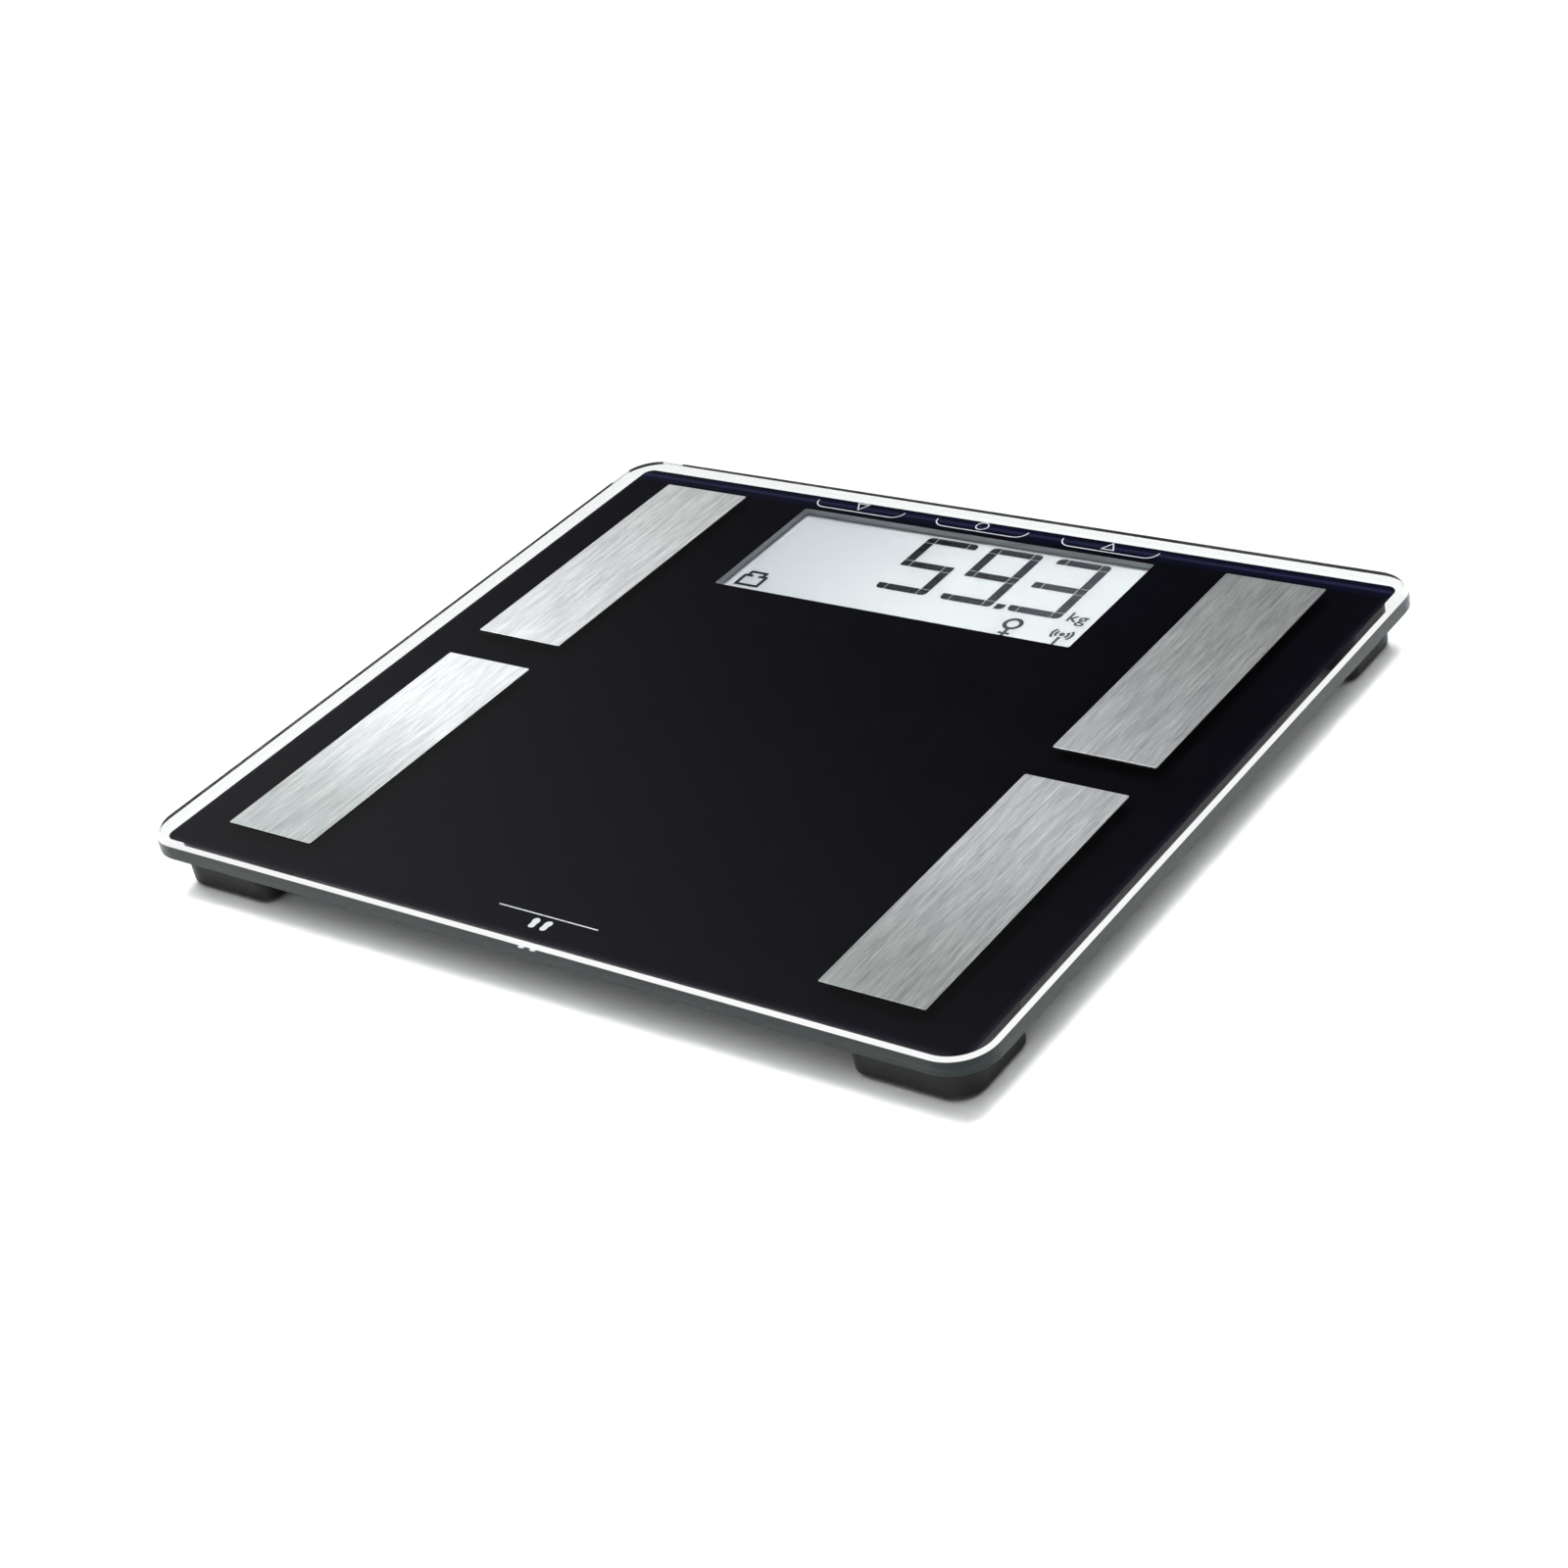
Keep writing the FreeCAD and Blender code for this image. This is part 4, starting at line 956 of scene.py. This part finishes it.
# Unit sign. The letters of the unit stand at the foot of the last digit, in the same dye.
# They are set a little bold and spaced, as a small sign in such a cell is.
unit_size = 7.7
unit_spacing = 1.1
unit_weight = 0.12
unit_curve = bpy.data.curves.new("display_unit", "FONT")
unit_curve.body = "kg"
unit_curve.size = unit_size
unit_curve.space_character = unit_spacing
unit_curve.extrude = (segment_high - segment_low) / 2
unit_curve.offset = unit_weight
unit_place = (55.1, 80.4, (segment_low + segment_high) / 2)
unit = solid_from_curve("display_unit", unit_curve, unit_place)
settle(unit, dye, "lcd_glass", "platform")

# Housing. A moulded rim taped to the glass, and a cover held to it by six screws, close the works in.
# Its battery door tips open on two tongues, and three keys stand in its rear wall.

# ABS, moulded in a coarse spark-eroded tool: charcoal black, matt and pebbled.
textured_abs = moulded("textured_black_abs", "#202023", roughness=0.55, grain=0.9, depth=0.05)
dress(textured_abs, "housing_rim", "housing_cover")
# Zinc-plated steel: a cold, clean shine with a faint crystal grain.
zinc_plate = metal_finish("zinc_plated_steel", "#9fa2a6", "#d5d7d9", roughness=0.3, grain=0.8, depth=0.01)
dress(zinc_plate, "cover_screws")
# ABS for the door, from its own finer tool: a shade darker and smoother than the cover.
door_abs = moulded("door_black_abs", "#1c1c1f", roughness=0.5, grain=0.9, depth=0.04)
dress(door_abs, "battery_door")
grip_count = 5
grip_start = 5.0
grip_pitch = 2.0
grip_length = 16.0
grip_taper = 2.8
grip_width = 0.9
grip_height = 0.3
grip_root = 0.05
grip_edge = 0.1
grip_steps = 4
door_low, door_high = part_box("battery_door")
grip_x = (door_low.x + door_high.x) / 2 / MM
door_face = door_low.z / MM
for bar in range(grip_count):
    grip_y = door_low.y / MM + grip_start + bar * grip_pitch
    bar_size = (grip_length - bar * grip_taper, grip_width)
    bar_outline = round_rectangle((grip_x, grip_y), bar_size, grip_width / 2, grip_steps)
    grip = flat_piece(
        f"door_grip_{bar + 1}",
        [bar_outline],
        door_face - grip_height,
        door_face + grip_root,
        grip_edge,
    )
    settle(grip, door_abs, "door_plastic", "battery_door_group")
# ABS for the keys: satin, so a finger slides on and off them.
key_abs = moulded("key_black_abs", "#18181b", roughness=0.38, grain=0.6, depth=0.02)
for key in ("left", "middle", "right"):
    dress(key_abs, f"key_{key}")

# Works. A printed board with a chip, a radio in its can, and three switches with their plungers.
# It lies in the housing, and a strip of layered rubber pressed between them joins it to the cell.

# Solder mask over copper tracks, 1.6 mm apart: glossy green, paler where a track runs under it.
track_unit = 4.545 * MM
board_finish, tree, shader, place = new_finish("green_solder_mask", "#1d5a34", roughness=0.35)
board_place = add_node(
    tree, "Mapping", {"Vector": place, "Scale": (1 / track_unit, 1 / track_unit, 1.0)}
)
tracks = add_node(
    tree,
    "TexBrick",
    {
        "Vector": board_place,
        "Color1": linear("#1b5430"),
        "Color2": linear("#236b3e"),
        "Mortar": linear("#2f8150"),
        "Scale": 1.0,
        "Mortar Size": 0.04,
        "Brick Width": 1.6,
        "Row Height": 0.35,
    },
)
tree.links.new(tracks.outputs[0], shader.inputs["Base Color"])
dress(board_finish, "circuit_board")
# Epoxy resin, dripped over the chip: deep black and glossy, with slow ripples.
chip_resin = moulded("black_epoxy_blob", "#101011", roughness=0.25, grain=2.0, depth=0.05)
dress(chip_resin, "controller_chip")
# Tinned steel, pressed into a can: pale and bright, with a smooth wander in its shine.
tinned = metal_finish("tinned_steel_can", "#b3b5b6", "#dcdddd", roughness=0.22, grain=2.0, depth=0.01)
dress(tinned, "radio_module")
# Glass-filled PBT, moulded: dark and dull, from the fibres at its surface.
switch_pbt = moulded("black_pbt", "#151516", roughness=0.4, grain=0.5, depth=0.01)
dress(switch_pbt, "key_switches")
# Acetal, moulded: milky white and slippery, with a soft shine.
plunger_acetal = moulded("white_acetal", "#dedcd4", roughness=0.35, grain=0.5, depth=0.01)
for key in ("left", "middle", "right"):
    dress(plunger_acetal, f"switch_plunger_{key}")
# Silicone rubber in layers, pink between thin dark ones that conduct.
layer_pitch = 0.5 * MM
bands_per_unit = 20
layered, tree, shader, place = new_finish("layered_contact_rubber", "#d9a7a0", roughness=0.6)
layers = add_node(
    tree,
    "TexWave",
    {"Vector": place, "Scale": 1 / layer_pitch / bands_per_unit, "Distortion": 0.0},
    bands_direction="X",
)
layer_colour = add_node(
    tree, "MixRGB", {"Fac": layers, "Color1": linear("#2a2022"), "Color2": linear("#d9a7a0")}
)
tree.links.new(layer_colour.outputs[0], shader.inputs["Base Color"])
dress(layered, "zebra_connector")

# Batteries. Three slim cells side by side in the housing's bay, behind the door.
# Plated springs and plates at the ends of the bay hold them and carry the current.

# Printed shrink sleeve: smooth dark grey film with a copper-coloured band at the nub end.
band_start = 6 * MM
band_end = 6.4 * MM
sleeve, tree, shader, place = new_finish("printed_battery_sleeve", "#3a3d44", roughness=0.3)
spot = add_node(tree, "SeparateXYZ", {"Vector": place})
band = add_node(
    tree,
    "MapRange",
    {
        "Value": spot.outputs["X"],
        "From Min": band_start,
        "From Max": band_end,
        "To Min": 0.0,
        "To Max": 1.0,
    },
)
sleeve_colour = add_node(
    tree, "MixRGB", {"Fac": band, "Color1": linear("#33363c"), "Color2": linear("#b98a3e")}
)
tree.links.new(sleeve_colour.outputs[0], shader.inputs["Base Color"])
dress(sleeve, "battery_front", "battery_middle", "battery_rear")
# Nickel plate on spring wire and strip: warm silver and bright.
nickel = metal_finish("nickel_plated_spring", "#b9b6ae", "#e2dfd8", roughness=0.2, grain=1.0, depth=0.01)
dress(nickel, "battery_contacts")

# Leads. Soft leads run from each foot and each contact pin to the housing, up against the glass.
# Small saddles, glued to the print, hold them there.

# Plasticised PVC, extruded: grey for the load cells and red for the electrodes, with a waxy shine.
grey_pvc = moulded("grey_soft_pvc", "#b9bab8", roughness=0.5, grain=0.6, depth=0.02)
red_pvc = moulded("red_soft_pvc", "#8c1f1a", roughness=0.5, grain=0.6, depth=0.02)
# Nylon for the saddles, moulded: black with a dull shine.
black_nylon = moulded("black_nylon", "#1b1b1c", roughness=0.5, grain=0.6, depth=0.02)
for corner in corners:
    dress(grey_pvc, f"sensor_lead_{corner}")
    dress(red_pvc, f"electrode_lead_{corner}")
dress(black_nylon, "lead_clips")
